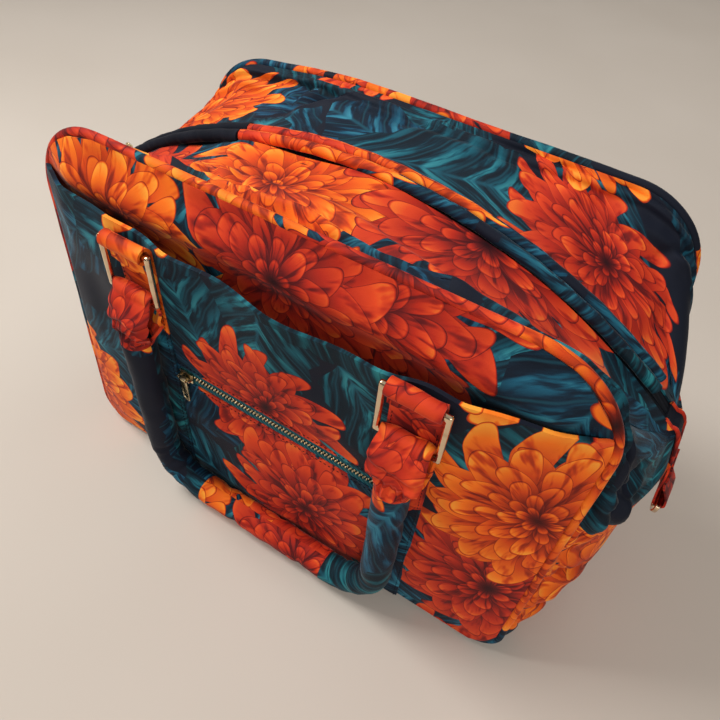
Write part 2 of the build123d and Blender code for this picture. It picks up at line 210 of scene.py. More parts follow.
def flat_cut(x, h, piece):
    """Cloth coordinates of a piece that is flat but for its padding."""
    across, up = cut_at(piece)
    return np.stack([x + across, h + up], axis=2)


def normals(points, centre):
    """Unit normals of a grid, turned away from a point."""
    along = np.gradient(points, axis=0)
    across = np.gradient(points, axis=1)
    out = np.cross(along, across)
    out /= np.maximum(np.linalg.norm(out, axis=2, keepdims=True), 1e-12)
    sign = np.sign(np.sum(out * (points - np.array(centre)), axis=2).mean())
    return out * (sign if sign else 1.0)


def lengths(points, axis):
    """Distance run along a grid from its first row."""
    step = np.linalg.norm(np.diff(points, axis=axis), axis=2)
    zero = np.zeros_like(np.take(step, [0], axis=axis))
    return np.concatenate([zero, np.cumsum(step, axis=axis)], axis=axis)


def run_along(line):
    """Distance run along a line of points."""
    return np.concatenate([[0.0], np.cumsum(np.linalg.norm(np.diff(line, axis=0), axis=1))])


def cloth_map(points, offset):
    """Flat cloth coordinates in metres for a grid."""
    run = lengths(points, 0).mean(axis=1)[:, None]
    rise = lengths(points, 1)
    rise = rise - rise[:, -1:] / 2
    return np.stack([run + offset[0] + 0 * rise, rise + offset[1]], axis=2)


def waves(count, seed, low, high):
    """A fixed set of soft waves: two frequencies and a phase in each row."""
    rng = np.random.default_rng(seed)
    turn = rng.uniform(0, 2 * pi, count)
    rate = rng.uniform(low, high, count)
    phase = rng.uniform(0, 2 * pi, count)
    return np.stack([rate * np.cos(turn), rate * np.sin(turn), phase], axis=1)


def ripple(a, b, count=9, seed=1, low=40.0, high=140.0):
    """Smooth uneven height between about -1 and 1 over two coordinates in metres."""
    total = np.zeros(np.broadcast(a, b).shape)
    for fa, fb, phase in waves(count, seed, low, high):
        total = total + np.sin(a * fa + b * fb + phase)
    return total / sqrt(count)


def mesh_object(name, verts, faces, corners, slot):
    """A closed mesh with its cloth map, normals outward, in the scene."""
    mesh = bpy.data.meshes.new(name)
    mesh.from_pydata([tuple(v) for v in verts], [], [tuple(int(i) for i in f) for f in faces])
    layer = mesh.uv_layers.new(name="cloth")
    layer.data.foreach_set("uv", np.asarray(corners, dtype=np.float32).ravel())
    work = bmesh.new()
    work.from_mesh(mesh)
    bmesh.ops.recalc_face_normals(work, faces=work.faces)
    work.to_mesh(mesh)
    work.free()
    mesh.shade_smooth()
    mesh.set_sharp_from_angle(angle=SHARP_ANGLE)
    obj = bpy.data.objects.new(name, mesh)
    bpy.context.scene.collection.objects.link(obj)
    mesh.materials.append(material(slot))
    return obj


def sheet_parts(points, flat, thickness, keep=None, centre=BAG_MIDDLE):
    """Vertices, faces and cloth coordinates of a sheet with thickness."""
    nu, nv = points.shape[:2]
    out = normals(points, centre)
    verts = np.concatenate([points.reshape(-1, 3), (points - out * thickness).reshape(-1, 3)])
    under = nu * nv
    keep = np.ones((nu - 1, nv - 1), bool) if keep is None else keep
    i, j = np.nonzero(keep)
    quads = np.stack([i * nv + j, (i + 1) * nv + j, (i + 1) * nv + j + 1, i * nv + j + 1], axis=1)
    edges = {}
    for quad in quads:
        for k in range(4):
            a, b = int(quad[k]), int(quad[(k + 1) % 4])
            if (b, a) in edges:
                del edges[(b, a)]
            else:
                edges[(a, b)] = True
    walls = np.array([(b, a, a + under, b + under) for a, b in edges])
    faces = np.concatenate([quads, quads[:, ::-1] + under, walls])
    both = np.concatenate([flat.reshape(-1, 2), flat.reshape(-1, 2)])
    return verts, faces, both[faces.ravel()]


def sheet_object(name, points, flat, slot, thickness, keep=None):
    """A cloth piece from a grid of points on its outer side."""
    return mesh_object(name, *sheet_parts(points, flat, thickness, keep), slot)


def frames_along(path, closed):
    """Two cross directions along a line that never runs from front to back."""
    if closed:
        tangent = np.roll(path, -1, axis=0) - np.roll(path, 1, axis=0)
    else:
        tangent = np.gradient(path, axis=0)
    tangent = tangent / np.linalg.norm(tangent, axis=1, keepdims=True)
    side = np.cross(tangent, np.array((0.0, 1.0, 0.0)))
    side = side / np.linalg.norm(side, axis=1, keepdims=True)
    return side, np.cross(side, tangent)


def tube_parts(path, radius, offset, around=20, closed=False, spun=False):
    """Vertices, faces and cloth coordinates of a tube; radius takes a row and an angle.

    A spun tube has its cloth turned, so that the print runs across it.
    """
    path = np.asarray(path)
    count = len(path)
    side, over = frames_along(path, closed)
    angle = np.arange(around) / around * 2 * pi
    reach = radius(np.arange(count)[:, None], angle[None, :])
    ring = side[:, None] * np.cos(angle)[None, :, None] + over[:, None] * np.sin(angle)[None, :, None]
    points = path[:, None] + ring * reach[:, :, None]
    loop = np.concatenate([path, path[:1]]) if closed else path
    run = run_along(loop)
    girth = float(reach.mean()) * 2 * pi
    last = count if closed else count - 1
    i, j = (g.ravel() for g in np.meshgrid(np.arange(last), np.arange(around), indexing="ij"))
    grid = [(i, j), (i + 1, j), (i + 1, j + 1), (i, j + 1)]
    faces = [tuple(f) for f in np.stack([(a % count) * around + b % around for a, b in grid], axis=1)]
    turn = girth / around
    flat = [np.stack([run[a] + offset[0], b * turn + offset[1]], axis=1) for a, b in grid]
    corners = list(np.stack(flat, axis=1).reshape(-1, 2))
    if not closed:
        for row, at in ((0, run[0]), (count - 1, run[-1])):
            faces.append(tuple(row * around + k for k in range(around)))
            for k in range(around):
                corners.append((at + offset[0] + 0.004 * cos(angle[k]), offset[1] + 0.004 * sin(angle[k])))
    corners = np.array(corners)
    if spun:
        corners = (corners - np.array(offset))[:, ::-1] + np.array(offset)
    return points.reshape(-1, 3), faces, corners


def joined(parts):
    """Several meshes as one."""
    verts, faces, corners, start = [], [], [], 0
    for v, f, c in parts:
        verts.extend(v)
        faces.extend(tuple(int(i) + start for i in face) for face in f)
        corners.extend(c)
        start += len(v)
    return verts, faces, corners


def turned(parts):
    """The same mesh on the opposite side of the bag."""
    verts, faces, corners = parts
    verts = np.asarray(verts) * np.array([-1.0, -1.0, 1.0])
    return verts, faces, np.asarray(corners) + np.array(TURNED_CUT)


def smoothed(field, times):
    """Evens out a field over a grid, keeping its edges."""
    for _ in range(times):
        field[1:-1] = (field[:-2] + 2 * field[1:-1] + field[2:]) / 4
        field[:, 1:-1] = (field[:, :-2] + 2 * field[:, 1:-1] + field[:, 2:]) / 4
    return field


def sewn_edges(points, first, last, left, right):
    """A mask of a grid's outer rows and columns, which are sewn down."""
    pinned = np.zeros(points.shape[:2], bool)
    pinned[:first] = True
    pinned[-last:] = True
    pinned[:, :left] = True
    pinned[:, -right:] = True
    return pinned


def settle(points, pinned, growth):
    """Let spare cloth between sewn edges buckle; returns the moved grid."""
    cloth = bpy.context.scene.carpet_bag_cloth
    nu, nv = points.shape[:2]
    index = np.arange(nu * nv).reshape(nu, nv)
    corners = [index[:-1, :-1], index[1:, :-1], index[1:, 1:], index[:-1, 1:]]
    quads = np.stack(corners, axis=2).reshape(-1, 4)
    out = normals(points, GUSSET_MIDDLE)
    facing = np.cross(np.gradient(points, axis=0), np.gradient(points, axis=1))
    if np.sum(facing * out) < 0:
        quads = quads[:, ::-1]
    mesh = bpy.data.meshes.new("settling")
    verts = [tuple(p) for p in points.reshape(-1, 3)]
    mesh.from_pydata(verts, [], [tuple(int(k) for k in q) for q in quads])
    obj = bpy.data.objects.new("settling", mesh)
    bpy.context.scene.collection.objects.link(obj)
    group = obj.vertex_groups.new(name="sewn")
    group.add([int(k) for k in index[pinned]], 1.0, "REPLACE")
    modifier = obj.modifiers.new("Settle", "CLOTH")
    values = modifier.settings
    values.vertex_group_mass = "sewn"
    values.quality = 5
    values.mass = 0.25
    values.tension_stiffness = 12.0
    values.compression_stiffness = 12.0
    values.shear_stiffness = 4.0
    values.bending_stiffness = 0.6
    values.shrink_min = -growth
    values.use_pressure = True
    values.uniform_pressure_force = cloth.pressure
    values.effector_weights.gravity = 0.25
    modifier.collision_settings.use_collision = False
    modifier.collision_settings.use_self_collision = False
    modifier.point_cache.frame_start = 1
    modifier.point_cache.frame_end = cloth.frames
    scene = bpy.context.scene
    for number in range(1, cloth.frames + 1):
        scene.frame_set(number)
    done = obj.evaluated_get(bpy.context.evaluated_depsgraph_get())
    moved = np.empty(nu * nv * 3, dtype=np.float32)
    done.data.vertices.foreach_get("co", moved)
    moved = moved.reshape(nu, nv, 3).astype(float)
    bpy.data.objects.remove(obj)
    bpy.data.meshes.remove(mesh)
    scene.frame_set(1)
    shift = smoothed(moved - points, 4)
    away = np.sum(shift * out, axis=2, keepdims=True)
    limit = np.where(away > 0, cloth.cap, cloth.sink)
    slide = shift - out * away
    size = np.linalg.norm(slide, axis=2, keepdims=True) / cloth.cap
    return points + slide / np.maximum(1.0, size) + out * limit * np.tanh(away / limit)


# Lines of the bag


def rim_outline(b, s, low=0.0, inset=0.0):
    """Across and up on a panel, for places counted in edges from the bottom left."""
    w = b.panel_width / 2 - inset
    top = b.panel_height - inset
    r = b.top_radius - inset
    c = b.bottom_radius - inset
    s = np.asarray(s, dtype=float)
    left = s > 4.5
    s = np.where(left, 9.0 - s, s)
    edge = np.clip(np.floor(s), 0, 4).astype(int)
    t = s - edge
    turn = t * pi / 2
    rise = top - r - c - low
    rows = [
        ((2 * t - 1) * (w - c), low + 0 * t),
        (w - c + c * np.sin(turn), low + c - c * np.cos(turn)),
        (w + 0 * t, low + c + t * rise),
        (w - r + r * np.cos(turn), top - r + r * np.sin(turn)),
        ((1 - 2 * t) * (w - r), top + 0 * t),
    ]
    x = np.choose(edge, [row[0] for row in rows])
    h = np.choose(edge, [row[1] for row in rows])
    return np.where(left, -x, x), h


def bend(a, corner, b, t):
    """A rounded corner between two points."""
    return [a[k] * (1 - t) ** 2 + 2 * corner[k] * t * (1 - t) + b[k] * t**2 for k in range(2)]


def middle_outline(b, s):
    """Across and up of the arched outline half way between the panels."""
    foot, head = b.middle_bottom / 2, b.middle_top / 2
    zc = b.arch_peak - b.arch_radius
    top = zc + sqrt(b.arch_radius**2 - head**2)
    chord = hypot(head - foot, top)
    radius = chord**2 / 8 / b.end_bulge + b.end_bulge / 2
    mid = ((foot + head) / 2, top / 2)
    inward = (-top / chord, (head - foot) / chord)
    centre = [mid[k] + inward[k] * (radius - b.end_bulge) for k in range(2)]
    start = atan2(-centre[1], foot - centre[0])
    end = atan2(top - centre[1], head - centre[0])
    trim, crop = FOOT_TRIM, SHOULDER_CROP
    first, last = start + trim / radius, end - crop / radius
    rise = atan2(top - zc, head)
    shoulder = rise + crop / b.arch_radius

    def side(angle):
        return centre[0] + radius * np.cos(angle), centre[1] + radius * np.sin(angle)

    def arch(angle):
        return b.arch_radius * np.cos(angle), zc + b.arch_radius * np.sin(angle)

    s = np.asarray(s, dtype=float)
    left = s > 4.5
    s = np.where(left, 9.0 - s, s)
    edge = np.clip(np.floor(s), 0, 4).astype(int)
    t = s - edge
    rows = [
        ((2 * t - 1) * (foot - trim), 0 * t),
        bend((foot - trim, 0.0), (foot, 0.0), side(first), t),
        side(first + t * (last - first)),
        bend(side(last), (head, top), arch(shoulder), t),
        arch(shoulder + t * (pi - 2 * shoulder)),
    ]
    x = np.choose(edge, [row[0] for row in rows])
    z = np.choose(edge, [row[1] for row in rows])
    return np.where(left, -x, x), z


def gusset_point(b, s, v):
    """The gusset's outer surface: s round the girth, v from the front (-1) to the back (1)."""
    lean = atan((b.bottom_depth - b.top_depth) / 2 / b.panel_height)
    x0, h = rim_outline(b, s)
    x1, z1 = middle_outline(b, s)
    x = x0 * v**2 + x1 * (1 - v**2)
    z = h * cos(lean) * v**2 + z1 * (1 - v**2)
    y = v * (b.bottom_depth / 2 - b.setback - h * sin(lean))
    return np.stack(np.broadcast_arrays(x, y, z), axis=-1)


def seam_place(b, v, height):
    """Where the right end's cross seam meets each line from front to back."""
    s = np.linspace(2.0, 3.9, 120)
    z = gusset_point(b, s[:, None], np.asarray(v)[None, :])[:, :, 2]
    return np.array([np.interp(height, z[:, k], s) for k in range(z.shape[1])])


def piecewise(knots, counts):
    """Places between knots, shared out by counts; knots may be arrays over v."""
    rows = []
    for k, count in enumerate(counts):
        t = np.arange(count)[:, None] / count
        rows.append(np.asarray(knots[k])[None, :] * (1 - t) + np.asarray(knots[k + 1])[None, :] * t)
    rows.append(np.asarray(knots[-1])[None, :])
    return np.concatenate(rows)


def panel_point(b, x, h, out, back=False):
    """A point over a panel, out from its plane."""
    lean = atan((b.bottom_depth - b.top_depth) / 2 / b.panel_height)
    y = -b.bottom_depth / 2 + h * sin(lean) - out * cos(lean)
    z = h * cos(lean) + out * sin(lean)
    if back:
        x, y = -x, -y
    return np.stack(np.broadcast_arrays(x, y, z), axis=-1)


def bump(x, centre, width):
    """A smooth hill of height 1."""
    return np.exp(-(((x - centre) / width) ** 2))


def step(x, low, high):
    """A smooth step from 0 to 1."""
    t = np.clip((x - low) / (high - low), 0.0, 1.0)
    return t * t * (3 - 2 * t)


# Place along the seam, slope, depth and reach of the creases, from the right end or the floor up
TOP_CREASES = {
    False: [
        (0.016, 0.35, 0.0040, 0.075),
        (0.040, -0.25, 0.0036, 0.070),
        (0.066, 0.30, 0.0034, 0.062),
        (0.094, -0.35, 0.0028, 0.060),
        (0.330, 0.40, 0.0026, 0.055),
        (0.372, -0.30, 0.0030, 0.060),
    ],
    True: [
        (0.020, 0.30, 0.0036, 0.070),
        (0.050, -0.30, 0.0032, 0.066),
        (0.088, 0.35, 0.0026, 0.060),
        (0.360, 0.45, 0.0034, 0.070),
        (0.395, -0.20, 0.0034, 0.062),
    ],
}
END_CREASES = [
    (0.062, 0.40, 0.0034, 0.070),
    (0.092, -0.30, 0.0038, 0.075),
    (0.121, 0.35, 0.0036, 0.066),
    (0.148, -0.40, 0.0040, 0.080),
]


def gusset_folds(points, edge_run, cloth, seed, pull, creases=()):
    """Adds the fold beside the piping and pulled creases that start at the seam."""
    out = normals(points, GUSSET_MIDDLE)
    run = lengths(points, 0)
    dents = 0.0
    for place, slope, depth, reach in creases:
        line = run - place - slope * edge_run - 0.003 * np.sin(edge_run * 130 + 40 * place)
        fade = step(edge_run, 0.005, 0.016) * (1 - step(edge_run, reach * 0.5, reach))
        dents = dents + depth * fade * (bump(line, -0.010, 0.007) * 0.6 - bump(line, 0.0, 0.0042))
    free = step(edge_run, 0.0, 0.006)
    place = 0.0102 + 0.0012 * ripple(run, 0.0, 5, seed + 2, 10, 45)
    cord = np.sqrt(np.maximum(0.0, 1 - ((edge_run - place) / 0.0046) ** 2))
    upper = 0.25 + 0.75 * step(points[:, :, 2], 0.12, 0.20)
    near = np.where(points[:, :, 1] < 0, 0.10 + 0.90 * step(points[:, :, 0], -0.16, -0.04), 0.4)
    upper = upper * near
    ridge = cord * upper * (0.85 + 0.15 * ripple(run, edge_run * 0.2, 6, seed, 15, 60))
    second = bump(edge_run, 0.030 + 0.004 * ripple(run, 0.0, 5, seed + 4, 8, 30), 0.006)
    groove = bump(edge_run, 0.0048, 0.0020) * 0.45 + bump(edge_run, 0.0180, 0.004) * 0.25 - second * 0.62
    pulls = ripple(run, edge_run * 0.25, 8, seed + 5, 60, 210) * bump(edge_run, 0.020, 0.022)
    soft = ripple(points[:, :, 0] + points[:, :, 2], points[:, :, 1], 8, seed + 9, 25, 70)
    height = cloth.ridge * (ridge - groove * upper) + pull * pulls + (0.0008 + 0.6 * pull) * soft + dents
    points = points + out * (height * free)[:, :, None]
    points[:, :, 2] = np.maximum(points[:, :, 2], 0.0004)
    return points


def slumped(b, points):
    """Sinks the left corner of the back, which stands slack."""
    x, y, z = points[..., 0], points[..., 1], points[..., 2]
    share = step(-x, 0.05, 0.20) * step(y, 0.03, 0.085) * step(z, 0.15, 0.29)
    points[..., 2] = z - b.slump * share
    return points


def top_gusset(b, cloth, back):
    """One half of the gusset over the top, from the panel seam to the zip."""
    sign = 1.0 if back else -1.0
    lean_y = b.top_depth / 2 - b.setback
    t = np.concatenate([np.linspace(0.0, 0.22, 22), np.linspace(0.22, 1.0, 27)[1:]])
    v = sign * (1.0 - t * (1.0 - b.slot / lean_y))
    right = seam_place(b, v, b.end_seam + SEAM_GAP)
    ones = np.ones_like(v)
    s = piecewise([right, 3 * ones, 4 * ones, 5 * ones, 6 * ones, 9 - right], [16, 28, 84, 28, 16])
    points = gusset_point(b, s, v[None, :])
    points = settle(points, sewn_edges(points, 1, 1, 1, 2), cloth.growth)
    creases = TOP_CREASES[back]
    points = gusset_folds(points, lengths(points, 1), cloth, 30 if back else 20, 0.0013, creases)
    return slumped(b, points)


def end_gusset(b, cloth, left):
    """One end of the bag below its cross seam."""
    t = np.concatenate([np.linspace(0.0, 0.11, 22), np.linspace(0.11, 0.5, 20)[1:]])
    v = np.concatenate([2 * t - 1, (1 - 2 * t)[::-1][1:]])
    reach = v**2 * (b.panel_width / 2 - b.bottom_radius) + (1 - v**2) * (b.middle_bottom / 2 - FOOT_TRIM)
    foot = (1 + (b.base_width / 2 + SEAM_GAP) / reach) / 2
    ones = np.ones_like(v)
    s = piecewise([foot, ones, 2 * ones, seam_place(b, v, b.end_seam - SEAM_GAP)], [4, 14, 44])
    points = gusset_point(b, 9 - s if left else s, v[None, :])
    points = settle(points, sewn_edges(points, 3, 1, 1, 1), cloth.growth)
    run = lengths(points, 1)
    edge_run = np.minimum(run, run[:, -1:] - run)
    return gusset_folds(points, edge_run, cloth, 50 if left else 40, 0.0036, END_CREASES)


def panel_rows(b, low, rows, inset):
    """Heights and half widths of a panel's rows inside its seam."""
    s = np.linspace(1.0, 4.5, 600)
    x, h = rim_outline(b, s, b.piping, inset)
    t = np.linspace(0.0, 1.0, rows)
    t = t + 0.10 * np.sin(2 * pi * t)
    height = low + (h.max() - low) * t
    return height, np.interp(height, h[: np.argmax(h)], x[: np.argmax(h)])


def panel(b, cloth, low, rows, columns, back):
    """A panel's outer face, padded, from a height up to its top seam."""
    height, half = panel_rows(b, low, rows, 0.0010)
    p = np.linspace(-1.0, 1.0, columns)
    x = p[None, :] * half[:, None]
    h = height[:, None] + 0 * x
    points = panel_point(b, x, h, PANEL_PROUD, back)
    pinned = sewn_edges(points, 1, 1, 1, 1)
    return settle(points, pinned, cloth.growth * cloth.panel_share), x, h


def pocket_depth(b, f, x, z):
    """How far the slip pocket stands from the middle plane at its back."""
    slope = (b.bottom_depth - b.top_depth) / 2 / b.panel_height
    flat, half = f.pocket_flat / 2, b.panel_width / 2
    share = np.clip((np.abs(x) - flat) / (half - flat), 0.0, 1.0)
    return f.pocket_back - slope * z * share


def strap_line(f, gap):
    """The line of a strap from the bottom seam over a ring's upper bar and back, as depth and height."""
    y0 = f.pocket_back + 0.0058 + gap
    zr, yr, r = f.ring_high, f.ring_depth, STRAP_FOLD
    rows = [(y0, z) for z in np.linspace(0.0072, zr - 0.020, 60)]
    rise = np.linspace(0.0, 1.0, 14)[1:-1]
    a, m, c = (y0, zr - 0.020), (y0, zr + r), (yr, zr + r)
    rows += [tuple(bend(a, m, c, t)) for t in rise]
    for turn in np.linspace(0.0, 1.0, 16):
        angle = pi / 2 - turn * radians(230)
        rows.append((yr + r * cos(angle), zr + r * sin(angle)))
    y1, z1 = rows[-1]
    rows += [(y1 + (y0 + 0.0026 - y1) * t, z1 - 0.014 * t * t) for t in np.linspace(0.0, 1.0, 8)[1:]]
    return np.array(rows)


def strap_grid(f, x, gap, seed):
    """Points of a strap's outer side and the distance along it."""
    line = strap_line(f, gap)
    p = np.linspace(-1.0, 1.0, 15)
    along = np.concatenate([[0.0], np.cumsum(np.hypot(*np.diff(line, axis=0).T))])
    points = np.zeros((len(line), len(p), 3))
    points[:, :, 0] = x + f.strap_half * p[None, :]
    wave = 0.0007 * ripple(along[:, None], p[None, :] * 0.017, 6, seed, 60, 200)
    edge = -0.0007 * np.abs(p[None, :]) ** 4
    points[:, :, 1] = -(line[:, 0][:, None] + wave * (1 - p[None, :] ** 2) + edge)
    points[:, :, 2] = line[:, 1][:, None]
    return points, p, along


def strap_parts(f, x, offset, gap, seed):
    """A strap with its fold."""
    points, p, along = strap_grid(f, x, gap, seed)
    across = p[None, :] * f.strap_half + 0 * along[:, None]
    flat = np.stack([across + offset[0], along[:, None] + offset[1] + 0 * p], axis=2)
    return sheet_parts(points, flat, STRAP_CLOTH, None, (x, -f.ring_depth + 0.03, 0.1))


def strap_stitches(f, x, gap, seed):
    """Two lines of stitching just inside a strap's edges, from the floor to its fold."""
    points, _, _ = strap_grid(f, x, gap, seed)
    return [points[:58, column] + np.array([0.0, -STITCH_PROUD, 0.0]) for column in (1, 13)]


def loop_parts(f, x, offset, seed):
    """The handle's gathered end: a wide strip folded round a ring's lower bar and drawn in to the roll."""
    r = LOOP_FOLD
    y, z = f.ring_depth, f.ring_low
    drop = np.linspace(1.0, 0.0, 30)
    turn = np.linspace(0.0, pi, 18)[1:-1]
    share = np.concatenate([drop, 0 * turn, drop[::-1]])
    side = np.concatenate([np.ones(30), np.cos(turn), -np.ones(30)])
    fall = z - (z - f.handle_top) * drop
    high = np.concatenate([fall, z + r * np.sin(turn), fall[::-1]])
    w = np.linspace(-1.0, 1.0, 41)
    draw = step(share, 0.62, 1.0)[:, None]
    round_x = f.handle_radius * np.sin(w * pi / 2)[None, :]
    round_y = f.handle_radius * np.cos(w * pi / 2)[None, :]
    belly = 1.0 + 0.11 * np.sin(np.clip(share / 0.9, 0, 1) ** 0.8 * pi)[:, None]
    px = (f.strap_half * w[None, :] * (1 - draw) + round_x * draw) * belly
    puffed = np.where(side > 0, 1.0, 0.1) * np.sin(np.clip(share, 0, 1) ** 0.9 * pi)
    depth = r * (1 + puffed)[:, None] * (1 - 0.35 * np.abs(w[None, :]) ** 5)
    py = side[:, None] * (depth * (1 - draw) + round_y * draw)
    middle = y + (f.handle_depth - y) * share[:, None]
    pleat = np.cos(w * 5.2 * pi + seed)[None, :] * 0.5 + 0.5 * np.cos(w * 8.3 * pi + 2 * seed)[None, :]
    pleat = pleat * step(share, 0.45, 0.8)[:, None] * (1 - step(share, 0.9, 1.0))[:, None]
    sag = share[:, None] + 0.10 * (w[None, :] * cos(seed)) + 0.05 * np.cos(w * 4 + seed)[None, :]
    gather = np.sin(sag * 21.0 + seed) * bump(share, 0.52, 0.26)[:, None]
    crumple = ripple(share[:, None] * 0.046, w[None, :] * 0.017, 8, int(seed * 10) + 3, 90, 330)
    py = py + side[:, None] * (0.0017 * pleat + 0.0016 * gather + 0.0012 * crumple * (1 - draw))
    points = np.stack(np.broadcast_arrays(x + px, -(middle + py), high[:, None]), axis=2)
    run = lengths(points, 0).mean(axis=1)[:, None]
    flat = np.stack(np.broadcast_arrays(w[None, :] * 0.024 + offset[0], run + offset[1]), axis=2)
    return sheet_parts(points, flat, STRAP_CLOTH, None, (x, -y, z - 0.02))


def handle_line(f, side, count):
    """One leg of the handle with its bend."""
    x, bendr = side * f.strap_x, f.handle_bend
    knee = f.handle_low + bendr
    leg = [(x, -f.handle_depth, z) for z in np.linspace(f.handle_top - 0.0002, knee, count)[:-1]]
    for angle in np.linspace(0.0, pi / 2, count):
        leg.append((x - side * bendr * (1 - cos(angle)), -f.handle_depth, knee - bendr * sin(angle)))
    return np.array(leg)


def roll_radius(f, seed, creases):
    """Uneven thickness of a rolled, stuffed handle."""
    lines = waves(7, seed, 0.10, 0.55)

    def radius(row, angle):
        total = 0.0
        for fa, fb, phase in lines:
            total = total + np.sin(row * fa * 2.0 + np.round(fb * 8) * angle + phase)
        crease = np.zeros(np.broadcast(row, angle).shape)
        for at, toward in creases:
            crease = crease + bump(row, at, 1.3) * (0.5 + 0.5 * np.cos(angle - toward))
        return f.handle_radius * (1.0 + 0.030 * total / sqrt(7) - 0.13 * crease)

    return radius


# Node trees


class Net:
    """Adds and wires the nodes of one tree."""

    def __init__(self, tree):
        self.tree = tree
        self.count = 0

    def put(self, socket, value):
        if isinstance(value, bpy.types.NodeSocket):
            self.tree.links.new(value, socket)
        elif value is not None:
            socket.default_value = value

    def node(self, kind, values=(), **settings):
        made = self.tree.nodes.new(kind)
        made.location = (180 * (self.count // 6), -190 * (self.count % 6))
        self.count += 1
        for key, value in settings.items():
            setattr(made, key, value)
        pairs = values.items() if isinstance(values, dict) else enumerate(values)
        for key, value in pairs:
            self.put(made.inputs[key], value)
        return made

    def math(self, operation, *values):
        return self.node("ShaderNodeMath", values, operation=operation).outputs[0]

    def vector(self, operation, *values):
        return self.node("ShaderNodeVectorMath", values, operation=operation).outputs[0]

    def mix(self, factor, a, b, kind="RGBA", blend="MIX"):
        made = self.node("ShaderNodeMix", data_type=kind, blend_type=blend)
        picked = [s for s in made.inputs if s.enabled]
        for socket, value in zip(picked, (factor, a, b)):
            self.put(socket, value)
        return [s for s in made.outputs if s.enabled][0]

    def ramp(self, factor, stops):
        made = self.node("ShaderNodeValToRGB", [factor])
        points = made.color_ramp.elements
        while len(points) < len(stops):
            points.new(0.5)
        for point, (place, colour) in zip(points, stops):
            point.position = place
            point.color = (*colour, 1.0)
        return made.outputs[0]

    def range(self, value, low, high, to_low=0.0, to_high=1.0):
        values = [value, low, high, to_low, to_high]
        return self.node("ShaderNodeMapRange", values, interpolation_type="SMOOTHSTEP").outputs[0]

    def noise(self, point, scale, detail=2.0, output="Fac"):
        values = {"Vector": point, "Scale": scale, "Detail": detail}
        return self.node("ShaderNodeTexNoise", values).outputs[output]

    def scaled(self, vector, factor):
        values = {0: vector, "Scale": factor}
        return self.node("ShaderNodeVectorMath", values, operation="SCALE").outputs[0]

    def point(self, *values):
        return self.node("ShaderNodeCombineXYZ", values).outputs[0]

    def relief(self, height, strength, distance):
        values = {"Strength": strength, "Distance": distance, "Height": height}
        return self.node("ShaderNodeBump", values).outputs[0]


def group(name, inputs, outputs):
    """A new shader node group with its sockets."""
    tree = bpy.data.node_groups.new(name, "ShaderNodeTree")
    for label, kind in inputs:
        tree.interface.new_socket(name=label, in_out="INPUT", socket_type=kind)
    for label, kind in outputs:
        tree.interface.new_socket(name=label, in_out="OUTPUT", socket_type=kind)
    net = Net(tree)
    start = net.node("NodeGroupInput")
    end = net.node("NodeGroupOutput")
    return net, start.outputs, end.inputs


FLOAT, VECTOR = "NodeSocketFloat", "NodeSocketVector"


def petal_ring_group():
    """One ring of petals laid over what is below it."""
    labels = ("Radius", "Angle", "Reach", "Petals", "Turn", "Seed", "Mask", "Shade")
    inputs = [(label, FLOAT) for label in labels]
    net, i, o = group("Petal ring", inputs, [("Mask", FLOAT), ("Shade", FLOAT)])
    place = net.math("MULTIPLY_ADD", i["Angle"], i["Petals"], i["Turn"])
    number = net.math("FLOORED_MODULO", net.math("FLOOR", place), i["Petals"])
    draw = net.math("MULTIPLY_ADD", i["Seed"], 91.7, number)
    chance = net.node("ShaderNodeTexWhiteNoise", {"W": draw}, noise_dimensions="1D").outputs["Value"]
    off = net.math("ABSOLUTE", net.math("MULTIPLY_ADD", net.math("FRACT", place), 2.0, -1.0))
    size = net.math("MULTIPLY", i["Reach"], net.math("MULTIPLY_ADD", chance, 0.22, 0.80))
    tip = net.math("MULTIPLY_ADD", net.math("POWER", off, 2.4), -0.50, 1.0)
    limit = net.math("MULTIPLY", size, tip)
    inside = net.math("LESS_THAN", i["Radius"], limit)
    part = net.math("DIVIDE", i["Radius"], limit)
    light = net.math("MULTIPLY", net.math("POWER", part, 1.7), net.math("MULTIPLY_ADD", chance, 0.35, 0.75))
    rib = net.math("MULTIPLY_ADD", net.math("POWER", off, 3.0), -0.75, 1.0)
    light = net.math("MULTIPLY", light, rib)
    rim = net.range(net.math("SUBTRACT", limit, i["Radius"]), 0.0, 0.022, 0.30, 1.0)
    light = net.math("MULTIPLY", light, rim)
    net.put(o["Mask"], net.math("MAXIMUM", i["Mask"], inside))
    net.put(o["Shade"], net.mix(inside, i["Shade"], light, "FLOAT"))
    return net.tree


